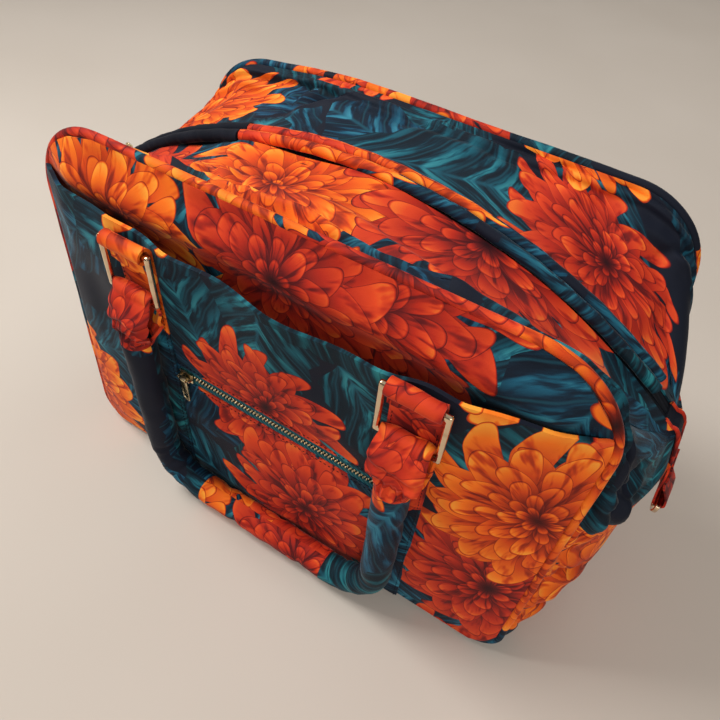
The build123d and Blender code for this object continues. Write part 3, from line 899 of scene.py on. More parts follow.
def bloom_group(ring):
    """A round flower of stacked petal rings, one unit in radius."""
    net, i, o = group("Bloom", [("Vector", VECTOR), ("Seed", FLOAT)], [("Mask", FLOAT), ("Shade", FLOAT)])
    parts = net.node("ShaderNodeSeparateXYZ", [i["Vector"]]).outputs
    away = net.node("ShaderNodeVectorMath", [i["Vector"]], operation="LENGTH").outputs["Value"]
    angle = net.math("DIVIDE", net.math("ARCTAN2", parts[1], parts[0]), 2 * pi)
    mask, shade = 0.0, 0.0
    rows = [
        (1.0, 13, 0.10, 1.6),
        (0.88, 14, 0.55, -1.1),
        (0.75, 13, 0.2, 1.3),
        (0.61, 11, 0.65, -1.0),
        (0.46, 10, 0.3, 0.8),
        (0.31, 8, 0.8, -0.6),
        (0.17, 6, 0.1, 0.0),
    ]
    for count, (reach, petals, turn, curl) in enumerate(rows):
        start = net.math("MULTIPLY_ADD", away, curl, turn + 0.5)
        seed = net.math("ADD", i["Seed"], count * 0.37)
        values = [away, angle, reach, float(petals), start, seed, mask, shade]
        made = net.node("ShaderNodeGroup", node_tree=ring)
        for socket, value in zip(made.inputs, values):
            net.put(socket, value)
        mask, shade = made.outputs["Mask"], made.outputs["Shade"]
    polar = net.point(net.math("MULTIPLY", angle, 52.0), net.math("MULTIPLY", away, 4.0), i["Seed"])
    stroke = net.range(net.noise(polar, 1.0), 0.30, 0.52, 0.45, 1.0)
    net.put(o["Mask"], mask)
    net.put(o["Shade"], net.math("MULTIPLY", shade, stroke))
    return net.tree


def leaf_group():
    """A pointed leaf with a rib and side veins, one unit from middle to tip."""
    outputs = [("Mask", FLOAT), ("Shade", FLOAT), ("Vein", FLOAT)]
    net, i, o = group("Leaf", [("Vector", VECTOR), ("Seed", FLOAT)], outputs)
    x, y, _ = net.node("ShaderNodeSeparateXYZ", [i["Vector"]]).outputs
    off = net.math("ABSOLUTE", y)
    square = net.math("MULTIPLY", x, x)
    body = net.math("POWER", net.math("MAXIMUM", net.math("SUBTRACT", 1.0, square), 0.0), 0.8)
    saw = net.math("PINGPONG", net.math("ADD", x, 2.0), 0.11)
    wide = net.math("MULTIPLY", net.math("MULTIPLY", body, 0.46), net.math("MULTIPLY_ADD", saw, 1.1, 0.9))
    net.put(o["Mask"], net.math("LESS_THAN", off, wide))
    slant = net.math("MULTIPLY_ADD", off, -1.1, x)
    side = net.math("PINGPONG", net.math("ADD", slant, 3.0), 0.13)
    vein = net.range(side, 0.0, 0.020, 1.0, 0.0)
    rib = net.range(off, 0.0, 0.026, 1.0, 0.0)
    net.put(o["Vein"], net.math("MAXIMUM", net.math("MULTIPLY", vein, 0.7), rib))
    across = net.math("DIVIDE", off, net.math("MAXIMUM", wide, 0.01))
    stretched = net.point(net.math("MULTIPLY", slant, 16.0), net.math("MULTIPLY", off, 5.0), i["Seed"])
    brush = net.range(net.noise(stretched, 1.0, 3.0), 0.36, 0.62, 0.12, 1.0)
    puff = net.math("MULTIPLY", net.math("POWER", side, 0.6), 3.4)
    fade = net.math("SUBTRACT", 1.05, net.math("MULTIPLY", across, 0.55))
    shade = net.math("MULTIPLY", fade, net.math("ADD", puff, 0.05))
    net.put(o["Shade"], net.math("MULTIPLY", shade, brush))
    return net.tree


def nap_group():
    """Velvet pile: a strength for its bump and a mask of rubbed patches."""
    net, i, o = group("Nap", [("Vector", VECTOR)], [("Pile", FLOAT), ("Patches", FLOAT)])
    values = {"Vector": i["Vector"], "Scale": 34.0, "Detail": 3.0, "Roughness": 0.6}
    broad = net.node("ShaderNodeTexNoise", values).outputs["Fac"]
    net.put(o["Pile"], net.noise(i["Vector"], 1500.0))
    net.put(o["Patches"], net.range(broad, 0.3, 0.75))
    return net.tree


def motif_place(net, point, pitch, spread, size, shift, feature="F1"):
    """Scatter of motifs: local coordinates and three random shares."""
    moved = net.vector("ADD", point, shift)
    cells = net.node(
        "ShaderNodeTexVoronoi",
        {"Vector": moved, "Scale": 1.0 / pitch, "Randomness": spread},
        voronoi_dimensions="2D",
        feature=feature,
    )
    local = net.vector("SUBTRACT", moved, cells.outputs["Position"])
    split = net.node("ShaderNodeSeparateColor", [cells.outputs["Color"]]).outputs
    angle = net.math("MULTIPLY", split[0], 2 * pi)
    values = {"Vector": local, "Angle": angle}
    spun = net.node("ShaderNodeVectorRotate", values, rotation_type="Z_AXIS").outputs[0]
    scale = net.math("DIVIDE", 1.0 / size, net.math("MULTIPLY_ADD", split[1], 0.25, 0.87))
    return net.scaled(spun, scale), split


def principled(net, values):
    """The surface of a material; numbers are set on their sockets."""
    shader = net.node("ShaderNodeBsdfPrincipled", values)
    net.node("ShaderNodeOutputMaterial", {"Surface": shader.outputs[0]})


def new_material(name):
    """An empty node material and its net."""
    made = bpy.data.materials.new("bag_" + name)
    made.use_nodes = True
    made.node_tree.nodes.clear()
    return made, Net(made.node_tree)


ORANGE = [
    (0.0, (0.020, 0.002, 0.002)),
    (0.22, (0.17, 0.010, 0.003)),
    (0.48, (0.56, 0.050, 0.004)),
    (0.75, (0.80, 0.150, 0.008)),
    (1.0, (0.86, 0.34, 0.035)),
]
RED = [
    (0.0, (0.016, 0.001, 0.003)),
    (0.25, (0.11, 0.005, 0.005)),
    (0.52, (0.40, 0.018, 0.006)),
    (0.80, (0.62, 0.050, 0.010)),
    (1.0, (0.76, 0.140, 0.018)),
]
TEAL = [
    (0.0, (0.001, 0.004, 0.008)),
    (0.30, (0.002, 0.024, 0.034)),
    (0.62, (0.005, 0.090, 0.108)),
    (1.0, (0.030, 0.235, 0.240)),
]
BLUE = [
    (0.0, (0.001, 0.003, 0.010)),
    (0.30, (0.002, 0.015, 0.036)),
    (0.62, (0.006, 0.062, 0.120)),
    (1.0, (0.030, 0.180, 0.265)),
]

# Tint of the leaves' veins and of rubbed pile
VEIN = (0.012, 0.115, 0.165, 1.0)
RUBBED = (1.5, 1.45, 1.5, 1.0)


def printed_velvet(groups):
    """Velvet with scattered flowers and leaves on a dark ground."""
    cloth_print = bpy.context.scene.carpet_bag_print
    _, net = new_material("printed_velvet")
    point = net.node("ShaderNodeUVMap", uv_map="cloth").outputs[0]
    warp = net.noise(point, 16.0, output="Color")
    drift = net.scaled(net.vector("SUBTRACT", warp, (0.5, 0.5, 0.5)), 0.016)
    point = net.vector("ADD", point, drift)
    colour = (*cloth_print.ground, 1.0)
    for pitch, spread, size, shift in (
        (cloth_print.leaf, 0.95, 0.085, (0.31, 0.17, 0.0)),
        (cloth_print.leaf * 1.35, 0.9, 0.098, (0.0, 0.63, 0.0)),
    ):
        local, split = motif_place(net, point, pitch, spread, size, shift)
        leaf = net.node("ShaderNodeGroup", [local, split[1]], node_tree=groups["Leaf"]).outputs
        green = net.ramp(leaf["Shade"], TEAL)
        blue = net.ramp(leaf["Shade"], BLUE)
        tone = net.mix(split[2], green, blue)
        tone = net.mix(net.math("MULTIPLY", leaf["Vein"], 0.42), tone, VEIN)
        colour = net.mix(leaf["Mask"], colour, tone)
    found = []
    for feature in ("F1", "F2"):
        local, split = motif_place(net, point, cloth_print.bloom, 0.62, 0.090, (0.52, 0.08, 0.0), feature)
        bloom = net.node("ShaderNodeGroup", [local, split[0]], node_tree=groups["Bloom"]).outputs
        orange = net.ramp(bloom["Shade"], ORANGE)
        red = net.ramp(bloom["Shade"], RED)
        tone = net.mix(net.math("GREATER_THAN", split[2], 0.56), orange, red)
        chance = net.math("FRACT", net.math("MULTIPLY", split[1], 13.7))
        taken = net.math("LESS_THAN", chance, cloth_print.share)
        found.append((net.math("MULTIPLY", bloom["Mask"], taken), tone, split[0]))
    (near, near_tone, first), (far, far_tone, second) = found
    colour = net.mix(far, colour, far_tone)
    over = net.math("MAXIMUM", net.math("GREATER_THAN", first, second), net.math("SUBTRACT", 1.0, far))
    colour = net.mix(net.math("MULTIPLY", near, over), colour, near_tone)
    nap = net.node("ShaderNodeGroup", [point], node_tree=groups["Nap"]).outputs
    rubbed = net.mix(net.math("MULTIPLY", nap["Patches"], 0.30), colour, RUBBED, blend="MULTIPLY")
    relief = net.relief(nap["Pile"], 0.25, 0.0006)
    values = {"Base Color": rubbed, "Roughness": 0.72, "Normal": relief, "Specular IOR Level": 0.2}
    principled(net, {**values, "Sheen Weight": 0.08, "Sheen Roughness": 0.3})


def plain_velvet(name, low, high, groups):
    """Velvet of one colour, lighter where the pile is rubbed."""
    _, net = new_material(name)
    point = net.node("ShaderNodeUVMap", uv_map="cloth").outputs[0]
    nap = net.node("ShaderNodeGroup", [point], node_tree=groups["Nap"]).outputs
    tone = net.mix(nap["Patches"], (*low, 1.0), (*high, 1.0))
    relief = net.relief(nap["Pile"], 0.3, 0.0006)
    values = {"Base Color": tone, "Roughness": 0.8, "Normal": relief, "Specular IOR Level": 0.12}
    principled(net, {**values, "Sheen Weight": 0.05, "Sheen Roughness": 0.35})


def woven(name, low, high, pitch):
    """A fine twill, on object coordinates."""
    _, net = new_material(name)
    point = net.node("ShaderNodeTexCoord").outputs["Object"]
    values = {"Vector": point, "Scale": 0.16 / pitch, "Distortion": 0.4}
    band = net.node("ShaderNodeTexWave", values, bands_direction="DIAGONAL").outputs["Fac"]
    share = net.math("MULTIPLY", band, net.math("ADD", net.noise(point, 900.0), 0.4))
    tone = net.mix(share, (*low, 1.0), (*high, 1.0))
    relief = net.relief(band, 0.4, 0.0003)
    principled(net, {"Base Color": tone, "Roughness": 0.8, "Normal": relief, "Specular IOR Level": 0.15})


def plated(name, colour, dark, rough):
    """Plated metal, a little darker and rougher where it is handled."""
    _, net = new_material(name)
    point = net.node("ShaderNodeTexCoord").outputs["Object"]
    worn = net.range(net.noise(point, 120.0, 3.0), 0.45, 0.7)
    tone = net.mix(net.math("MULTIPLY", worn, 0.35), (*colour, 1.0), (*dark, 1.0))
    gloss = net.math("MULTIPLY_ADD", worn, 0.14, rough)
    relief = net.relief(net.noise(point, 900.0), 0.05, 0.0002)
    principled(net, {"Base Color": tone, "Metallic": 1.0, "Roughness": gloss, "Normal": relief})


def material(slot):
    """The material of a slot."""
    return bpy.data.materials["bag_" + slot]


def make_materials():
    """All node groups and materials of the bag."""
    groups = {"Leaf": leaf_group(), "Bloom": bloom_group(petal_ring_group()), "Nap": nap_group()}
    printed_velvet(groups)
    plain_velvet("dark_velvet", (0.002, 0.003, 0.007), (0.008, 0.010, 0.017), groups)
    woven("dark_tape", (0.002, 0.003, 0.005), (0.009, 0.010, 0.015), 0.0011)
    woven("teal_tape", (0.006, 0.045, 0.06), (0.02, 0.13, 0.15), 0.0011)
    woven("lining_cotton", (0.012, 0.014, 0.03), (0.03, 0.035, 0.06), 0.0009)
    woven("base_board", (0.10, 0.08, 0.06), (0.18, 0.15, 0.11), 0.002)
    plated("pale_gold", (0.74, 0.57, 0.38), (0.30, 0.20, 0.11), 0.08)
    plated("pale_brass", (0.70, 0.58, 0.36), (0.36, 0.27, 0.15), 0.24)


def row_group():
    """Geometry nodes: small blocks at even steps along a line, with the blocks' long side along it."""
    tree = bpy.data.node_groups.new("Row along a line", "GeometryNodeTree")
    for label, kind in (
        ("Line", "NodeSocketGeometry"),
        ("Step", FLOAT),
        ("Size", VECTOR),
        ("Rounding", "NodeSocketInt"),
        ("Material", "NodeSocketMaterial"),
    ):
        tree.interface.new_socket(name=label, in_out="INPUT", socket_type=kind)
    tree.interface.new_socket(name="Row", in_out="OUTPUT", socket_type="NodeSocketGeometry")
    net = Net(tree)
    i = net.node("NodeGroupInput").outputs
    curve = net.node("GeometryNodeMeshToCurve", {"Mesh": i["Line"]}).outputs[0]
    points = net.node("GeometryNodeCurveToPoints", mode="LENGTH")
    net.put(points.inputs["Curve"], curve)
    net.put(points.inputs["Length"], i["Step"])
    turn = net.node("FunctionNodeAlignRotationToVector", axis="X")
    net.put(turn.inputs["Vector"], points.outputs["Tangent"])
    block = net.node("GeometryNodeMeshCube", {"Size": i["Size"]}).outputs["Mesh"]
    soft = net.node("GeometryNodeSubdivisionSurface", {"Mesh": block, "Level": i["Rounding"]}).outputs[0]
    values = {"Points": points.outputs["Points"], "Instance": soft, "Rotation": turn.outputs[0]}
    placed = net.node("GeometryNodeInstanceOnPoints", values).outputs[0]
    real = net.node("GeometryNodeRealizeInstances", [placed]).outputs[0]
    done = net.node("GeometryNodeSetMaterial", {"Geometry": real, "Material": i["Material"]}).outputs[0]
    net.node("NodeGroupOutput", [done])
    return tree


def row_object(name, lines, spacing, size, rounding, slot):
    """A row of blocks along lines of points, as a plain mesh."""
    tree = bpy.data.node_groups.get("Row along a line") or row_group()
    verts, edges = [], []
    for line in lines:
        edges += [(len(verts) + k, len(verts) + k + 1) for k in range(len(line) - 1)]
        verts += [tuple(p) for p in line]
    mesh = bpy.data.meshes.new(name)
    mesh.from_pydata(verts, edges, [])
    obj = bpy.data.objects.new(name, mesh)
    bpy.context.scene.collection.objects.link(obj)
    modifier = obj.modifiers.new("Row", "NODES")
    modifier.node_group = tree
    names = {item.name: item.identifier for item in tree.interface.items_tree if item.in_out == "INPUT"}
    modifier[names["Step"]] = spacing
    modifier[names["Size"]] = size
    modifier[names["Rounding"]] = rounding
    modifier[names["Material"]] = material(slot)
    graph = bpy.context.evaluated_depsgraph_get()
    real = bpy.data.meshes.new_from_object(obj.evaluated_get(graph))
    obj.modifiers.remove(modifier)
    obj.data = real
    bpy.data.meshes.remove(mesh)
    real.name = name
    if rounding:
        real.shade_smooth()
    return obj


# Operators

# Pitch and size of a stitch
STITCH_STEP = 0.0036
STITCH = (0.0026, 0.0008, 0.0006)
# Pitch and size of the pocket zip's teeth, and the distance of their two rows from the middle
TOOTH_STEP = 0.0028
TOOTH = (0.0017, 0.0026, 0.0032)
TOOTH_ROW = 0.0011
# Last word of a metal piece's name, its finish and rounding; the first row that fits counts
METAL = (
    ("_d_ring", "pale_gold", 0.0005),
    ("_ring", "pale_gold", 0.0008),
    ("_slider", "pale_brass", 0.0003),
    ("_pull", "pale_brass", 0.0003),
)
# Row and direction of the creases in a handle's legs and grip
LEG_CREASES = [(26, pi), (30, pi), (34, pi * 0.9), (39, pi * 1.1), (44, pi), (8, 0.6), (15, 2.2)]
GRIP_CREASES = [(6, 1.0), (13, 4.0), (25, 2.0), (36, 5.0)]


def settings():
    """The add-on's values in this scene."""
    scene = bpy.context.scene
    return scene.carpet_bag_body, scene.carpet_bag_front, scene.carpet_bag_cloth


class OBJECT_OT_bag_materials(Operator):
    """Makes the materials of the bag."""

    bl_idname = "object.carpet_bag_materials"
    bl_label = "Bag materials"

    def execute(self, context):
        make_materials()
        return {"FINISHED"}


class OBJECT_OT_bag_gussets(Operator):
    """Builds the cloth between the two panels."""

    bl_idname = "object.carpet_bag_gussets"
    bl_label = "Bag gussets"

    def execute(self, context):
        b, _, cloth = settings()
        for name, build, far in (
            ("front_top_gusset", top_gusset, False),
            ("rear_top_gusset", top_gusset, True),
            ("right_end_gusset", end_gusset, False),
            ("left_end_gusset", end_gusset, True),
        ):
            points = build(b, cloth, far)
            flat = cloth_map(points, cut_at(name))
            obj = sheet_object("cloth_" + name, points, flat, "printed_velvet", cloth.thickness)
            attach(obj, "bag")
            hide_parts(name)
        return {"FINISHED"}


class OBJECT_OT_bag_panels(Operator):
    """Builds the front and back panels and the slip pocket."""

    bl_idname = "object.carpet_bag_panels"
    bl_label = "Bag panels"

    def execute(self, context):
        b, f, cloth = settings()
        points, x, h = panel(b, cloth, b.piping + 0.001, 70, 90, True)
        out = normals(points, BAG_MIDDLE)
        edge = step(h, 0.006, 0.03) * step(-h, -0.297, -0.27) * step(-np.abs(x), -b.panel_width / 2, -0.17)
        points = points + out * (edge * (0.0035 + 0.0012 * ripple(x, h, 8, 71, 15, 60)))[:, :, None]
        flat = flat_cut(x, h, "back_panel")
        obj = sheet_object("cloth_back_panel", slumped(b, points), flat, "printed_velvet", cloth.thickness)
        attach(obj, "bag")
        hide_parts("back_panel")

        points, x, h = panel(b, cloth, b.piping + 0.001, 110, 110, False)
        out = normals(points, BAG_MIDDLE)
        side = step(-np.abs(x), -b.panel_width / 2 + 0.002, -0.165)
        swell = cloth.puff * bump(h, f.pocket_height + 0.012, 0.017) * side
        wave = 0.0016 * ripple(x, h, 8, 77, 25, 80) * step(h, 0.235, 0.26) * step(-h, -0.297, -0.285)
        points = points + out * (swell + wave * side)[:, :, None]
        flat = flat_cut(x, h, "front_panel")
        obj = sheet_object("cloth_front_panel", points, flat, "printed_velvet", cloth.thickness)
        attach(obj, "bag")
        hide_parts("front_panel")

        obj, lines = pocket_object(b, f, cloth)
        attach(obj, "bag")
        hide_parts("front_pocket_panel")
        obj = row_object("pocket_stitches", lines, STITCH_STEP, STITCH, 1, "dark_tape")
        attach(obj, "bag")
        return {"FINISHED"}


def pocket_object(b, f, cloth):
    """The slip pocket with its zip slot."""
    half, high = f.zip_half, f.slot_height / 2
    low = b.piping + 0.002
    s = np.linspace(1.0, 4.0, 600)
    rx, rh = rim_outline(b, s, b.piping, 0.002)
    z0 = np.linspace(low + 0.0005, f.zip_height - high, 44)
    z1 = np.linspace(f.zip_height - high, f.zip_height + high, 5)
    z2 = np.linspace(f.zip_height + high, f.pocket_height, 42)
    z = np.concatenate([z0, z1[1:], z2[1:]])
    limit = np.interp(z, rh, rx)
    widest = limit.max()
    cut = half / widest
    middle = np.linspace(-cut, cut, 50)
    columns = np.concatenate([np.linspace(-1, -cut, 40), middle[1:], np.linspace(cut, 1, 40)[1:]])
    x = columns[None, :] * widest + 0 * z[:, None]
    over = np.maximum(0.0, np.abs(x) - half) / (widest - half)
    x = np.sign(x) * (np.minimum(np.abs(x), half) + over * (limit[:, None] - half))
    zz = z[:, None] + 0 * x
    share = step(zz, 0.17, f.pocket_height)
    dip = 0.005 * (np.abs(x) / 0.2) ** 2 - 0.010 * bump(x, 0.045, 0.075) - 0.003 * bump(x, -0.06, 0.05)
    rim_free = step(-np.abs(x), -limit[:, None], -limit[:, None] + 0.03)
    away = np.maximum(np.abs(x) - half, 0.0) + np.maximum(np.abs(zz - f.zip_height) - high, 0.0)
    strap_gap = 1 - bump(np.abs(x), f.strap_x, 0.022)
    soft = step(away, 0.002, 0.03) * rim_free * step(zz, low, 0.03)
    swell = soft * strap_gap * (0.0035 + 0.0022 * ripple(x, zz, 9, 81, 20, 75))
    swell = swell + soft * share * 0.0015 * np.sin(x * 70 + 1.0) * strap_gap
    tuck = 0.002 * (1 - step(-np.abs(x), -limit[:, None], -limit[:, None] + 0.006))
    depth = pocket_depth(b, f, x, zz) + 0.0028 + swell - tuck
    points = np.stack([x, -depth, zz + dip * share], axis=2)
    keep = np.ones((len(z) - 1, len(columns) - 1), bool)
    mid_x = (x[:-1, 1:] + x[:-1, :-1]) / 2
    mid_z = (zz[1:, 1:] + zz[:-1, 1:]) / 2
    keep[(np.abs(mid_x) < half) & (np.abs(mid_z - f.zip_height) < high)] = False
    flat = flat_cut(x, zz, "front_pocket_panel")
    obj = sheet_object("cloth_front_pocket", points, flat, "printed_velvet", cloth.thickness, keep)
    proud = points + normals(points, BAG_MIDDLE) * STITCH_PROUD
    rows = np.nonzero(np.abs(z - f.zip_height) < high + 0.004)[0]
    near = np.nonzero(np.abs(columns) * widest < half + 0.004)[0]
    lines = [proud[rows[0], near], proud[rows[-1], near], proud[rows, near[0]], proud[rows, near[-1]]]
    return obj, lines


def lining_object(b):
    """The thin lining inside the velvet, open along the zip."""
    low = float(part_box("lining")[0][2])
    v = np.linspace(-0.955, 0.955, 41)
    s = np.concatenate([np.linspace(k, k + 1, 14)[:-1] for k in range(9)])
    points = slumped(b, gusset_point(b, s[:, None], v[None, :]))
    points = points - normals(points, GUSSET_MIDDLE) * LINING_INSET
    points[:, :, 2] = np.maximum(points[:, :, 2], low + 0.001)
    middle = (points[1:, 1:] + points[:-1, :-1]) / 2
    keep = (np.abs(middle[:, :, 1]) > 0.011) | (middle[:, :, 2] < 0.2)
    made = [sheet_parts(points, cloth_map(points, (0.0, 0.0)), LINING_CLOTH, keep)]
    for back in (False, True):
        height, half = panel_rows(b, low + 0.002, 40, 0.008)
        x = np.linspace(-1.0, 1.0, 40)[None, :] * half[:, None]
        face = slumped(b, panel_point(b, x, height[:, None] + 0 * x, -LINING_INSET, back))
        made.append(sheet_parts(face, cloth_map(face, (0.0, 0.0)), LINING_CLOTH))
    return mesh_object("cloth_lining", *joined(made), "lining_cotton")


def tab_parts(b, left):
    """A short strip folded round a D-ring's bar, sewn flat above it."""
    bar, high, half = 0.0043, 0.034, 0.011
    turn = np.linspace(pi, 2 * pi, 15)
    rise = np.linspace(1.0, 0.0, 12)
    back = [(-bar, high * r) for r in rise[:-1]]
    bow = [(bar * cos(a), bar * sin(a)) for a in turn]
    front = [(bar - (bar + 0.0014) * step(1 - r, 0.12, 0.6), high * (1 - r)) for r in rise[1:]]
    line = np.array(back + bow + front)
    lean = radians(6.4)
    x = b.tab_x + line[:, 0] * cos(lean) - line[:, 1] * sin(lean)
    z = b.tab_z + line[:, 0] * sin(lean) + line[:, 1] * cos(lean)
    p = np.linspace(-1.0, 1.0, 9)
    points = np.stack(np.broadcast_arrays(x[:, None], half * p[None, :], z[:, None]), axis=2)
    points[:, :, 0] += 0.0004 * ripple(points[:, :, 1], points[:, :, 2], 5, 7, 90, 260)
    flat = cloth_map(points, cut_at("d_ring_tab"))
    made = sheet_parts(points, flat, 0.0013, None, (b.tab_x, 0.0, b.tab_z))
    return turned(made) if left else made


def zip_tab_parts(b, left):
    """The cloth past an end of the zip, down to the cross seam."""
    half = (b.slot - SEAM_GAP) / (b.bottom_depth / 2 - b.setback - 0.011)
    v = np.linspace(-half, half, 11)
    s = np.linspace(3.0, 4.3, 300)
    x = gusset_point(b, s[:, None], v[None, :])[:, :, 0]
    top = np.array([np.interp(0.0010 - b.tape_end, -x[:, k], s) for k in range(len(v))])
    places = piecewise([seam_place(b, v, b.end_seam + SEAM_GAP), top], [22])
    points = gusset_point(b, places, v[None, :])
    rise = 0.0008 - 0.0024 * step(np.linspace(0.0, 1.0, 23), 0.7, 1.0)[:, None, None]
    points = points + normals(points, (0.0, 0.0, 0.1)) * rise
    made = sheet_parts(points, cloth_map(points, cut_at("zip_end_tab")), 0.002, None, (0.0, 0.0, 0.1))
    return turned(made) if left else made, [points[:, 0], points[:, -1]]


def edge_cords(lines, left):
    """Thin printed cords along the two sides of a dark tab."""

    def radius(row, angle):
        return 0.0014 + 0.0001 * np.sin(row + angle)

    made = joined([tube_parts(line, radius, cut_at("zip_end_edges"), 10) for line in lines])
    return turned(made) if left else made


class OBJECT_OT_bag_base(Operator):
    """Builds the base panel and the small cloth tabs."""

    bl_idname = "object.carpet_bag_base"
    bl_label = "Bag base and tabs"

    def execute(self, context):
        b, _, _ = settings()
        x = np.linspace(-b.base_width / 2, b.base_width / 2, 60)[:, None]
        y = np.linspace(-1.0, 1.0, 36)[None, :] * (b.bottom_depth / 2 - b.setback)
        soft = 0.0007 * (1 + ripple(x, y, 7, 61, 20, 60)) * step(0.165 - np.abs(x), 0.0, 0.02)
        points = np.stack(np.broadcast_arrays(x, y, np.clip(soft, 0.0002, 0.0025)), axis=2).copy()
        flat = cloth_map(points, cut_at("base_panel"))
        obj = sheet_object("cloth_base_panel", points, flat, "printed_velvet", 0.0015)
        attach(obj, "bag")
        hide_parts("base_panel")
        obj = lining_object(b)
        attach(obj, "bag")
        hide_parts("lining")
        for word, left in (("right", False), ("left", True)):
            obj = mesh_object(f"cloth_{word}_d_ring_tab", *tab_parts(b, left), "printed_velvet")
            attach(obj, "bag")
            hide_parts(f"{word}_d_ring_tab")
            made, lines = zip_tab_parts(b, left)
            obj = mesh_object(f"cloth_{word}_zip_end_tab", *made, "dark_velvet")
            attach(obj, "bag")
            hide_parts(f"{word}_zip_end_tab")
            obj = mesh_object(f"cloth_{word}_zip_end_edges", *edge_cords(lines, left), "printed_velvet")
            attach(obj, "bag")
        return {"FINISHED"}


def piping_parts(b):
    """The cord in the seam round the front panel."""
    x, h = rim_outline(b, np.linspace(0.0, 9.0, 4000)[:-1], b.piping)
    line = panel_point(b, x, h, 0.0)
    run = run_along(line)
    at = np.linspace(0.0, run[-1], 461)[:-1]
    path = np.stack([np.interp(at, run, line[:, k]) for k in range(3)], axis=1)
    lines = waves(6, 5, 0.15, 0.9)

    def radius(row, angle):
        total = sum(np.sin(row * fa + np.round(fb * 3) * angle + phase) for fa, fb, phase in lines)
        return b.piping * (1.0 + 0.05 * total / sqrt(6))

    return tube_parts(path, radius, cut_at("piping"), 14, True)


def lip_parts(b, side, start, end, wide):
    """One lip over the main zip between two angles of the arch; wide is its spare cloth."""
    turn = np.linspace(start, end, int((end - start) * 190))
    height = b.arch_peak - b.arch_radius + b.lip_ring * np.cos(turn)
    path = np.stack([b.lip_ring * np.sin(turn), side * b.lip_offset + 0 * turn, height], axis=1)

    def radius(row, angle):
        outer = np.maximum(0.0, side * np.sin(angle)) ** 2
        gather = 0.05 * np.sin(row * 1.3 + 2 * angle) * np.sin(row * 0.31)
        soft = 0.04 * np.sin(row * 0.5 + 2 * angle) + 0.03 * np.sin(row * 0.23 + angle)
        return b.lip * (1.0 + soft + wide * outer * (1.0 + 4 * gather))

    return tube_parts(path, radius, cut_at("zip_lip", -0.03 * side), 20)


class OBJECT_OT_bag_piping(Operator):
    """Builds the piping round the panels and the lips over the zip."""

    bl_idname = "object.carpet_bag_piping"
    bl_label = "Bag piping"

    def execute(self, context):
        b, _, _ = settings()
        parts = piping_parts(b)
        rear = turned(parts)
        for name, made in (("front_piping", parts), ("back_piping", (slumped(b, rear[0]), *rear[1:]))):
            obj = mesh_object("cloth_" + name, *made, "printed_velvet")
            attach(obj, "bag")
            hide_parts(name)
        near, far = asin(b.lip_change / b.arch_radius), asin(b.lip_end / b.arch_radius)
        for name, sides, start, end, slot in (
            ("front_zip_lip", (-1,), -near, far, "printed_velvet"),
            ("rear_zip_lip", (1,), -near, far, "printed_velvet"),
            ("left_zip_end_lips", (-1, 1), -far, -near - 0.001, "dark_velvet"),
        ):
            wide = 0.6 if slot == "dark_velvet" else 0.0
            made = [lip_parts(b, side, start, end, wide) for side in sides]
            obj = mesh_object("cloth_" + name, *joined(made), slot)
            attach(obj, "bag")
            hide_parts(name)
        return {"FINISHED"}


class OBJECT_OT_bag_handles(Operator):
    """Builds the straps, gathered loops and rolled handles."""

    bl_idname = "object.carpet_bag_handles"
    bl_label = "Bag handles"

    def execute(self, context):
        _, f, _ = settings()
        place = {"front": lambda parts: parts, "back": turned}
        for prefix in ("front", "back"):
            put = place[prefix]
            gap = 0.0003 if prefix == "front" else -0.0027
            for word, side in (("left", -1), ("right", 1)):
                x = side * f.strap_x
                made = put(strap_parts(f, x, cut_at(word + "_strap"), gap, 90 + side))
                obj = mesh_object(f"cloth_{prefix}_{word}_strap", *made, "printed_velvet")
                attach(obj, "bag")
                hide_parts(f"{prefix}_{word}_strap")
                made = put(loop_parts(f, x, cut_at("handle_loop", 0.018 * side), 1.0 + 0.6 * side))
                obj = mesh_object(f"cloth_{prefix}_{word}_handle_loop", *made, "printed_velvet")
                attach(obj, f"{prefix}_handle")
                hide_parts(f"{prefix}_{word}_handle_loop")
            seams = [strap_stitches(f, side * f.strap_x, gap, 90 + side) for side in (-1, 1)]
            turn = 1.0 if prefix == "front" else -1.0
            seams = [line * np.array([turn, turn, 1.0]) for pair in seams for line in pair]
            obj = row_object(f"{prefix}_strap_stitches", seams, STITCH_STEP, STITCH, 1, "dark_tape")
            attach(obj, "bag")
            legs = []
            for side in (-1, 1):
                creases = [(at, toward if side > 0 else pi - toward) for at, toward in LEG_CREASES]
                radius = roll_radius(f, 11 + side, creases)
                offset = cut_at("handle_sides", 0.04 * side)
                legs.append(tube_parts(handle_line(f, side, 26), radius, offset, 26, spun=True))
            obj = mesh_object(f"cloth_{prefix}_handle_sides", *put(joined(legs)), "printed_velvet")
            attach(obj, f"{prefix}_handle")
            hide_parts(f"{prefix}_handle_sides")
            reach = f.strap_x - f.handle_bend - 0.0002
            line = np.array([(x, -f.handle_depth, f.handle_low) for x in np.linspace(-reach, reach, 44)])
            grip = tube_parts(line, roll_radius(f, 19, GRIP_CREASES), cut_at("handle_grip"), 26)
            obj = mesh_object(f"cloth_{prefix}_handle_grip", *put(grip), "printed_velvet")
            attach(obj, f"{prefix}_handle")
            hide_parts(f"{prefix}_handle_grip")
        return {"FINISHED"}


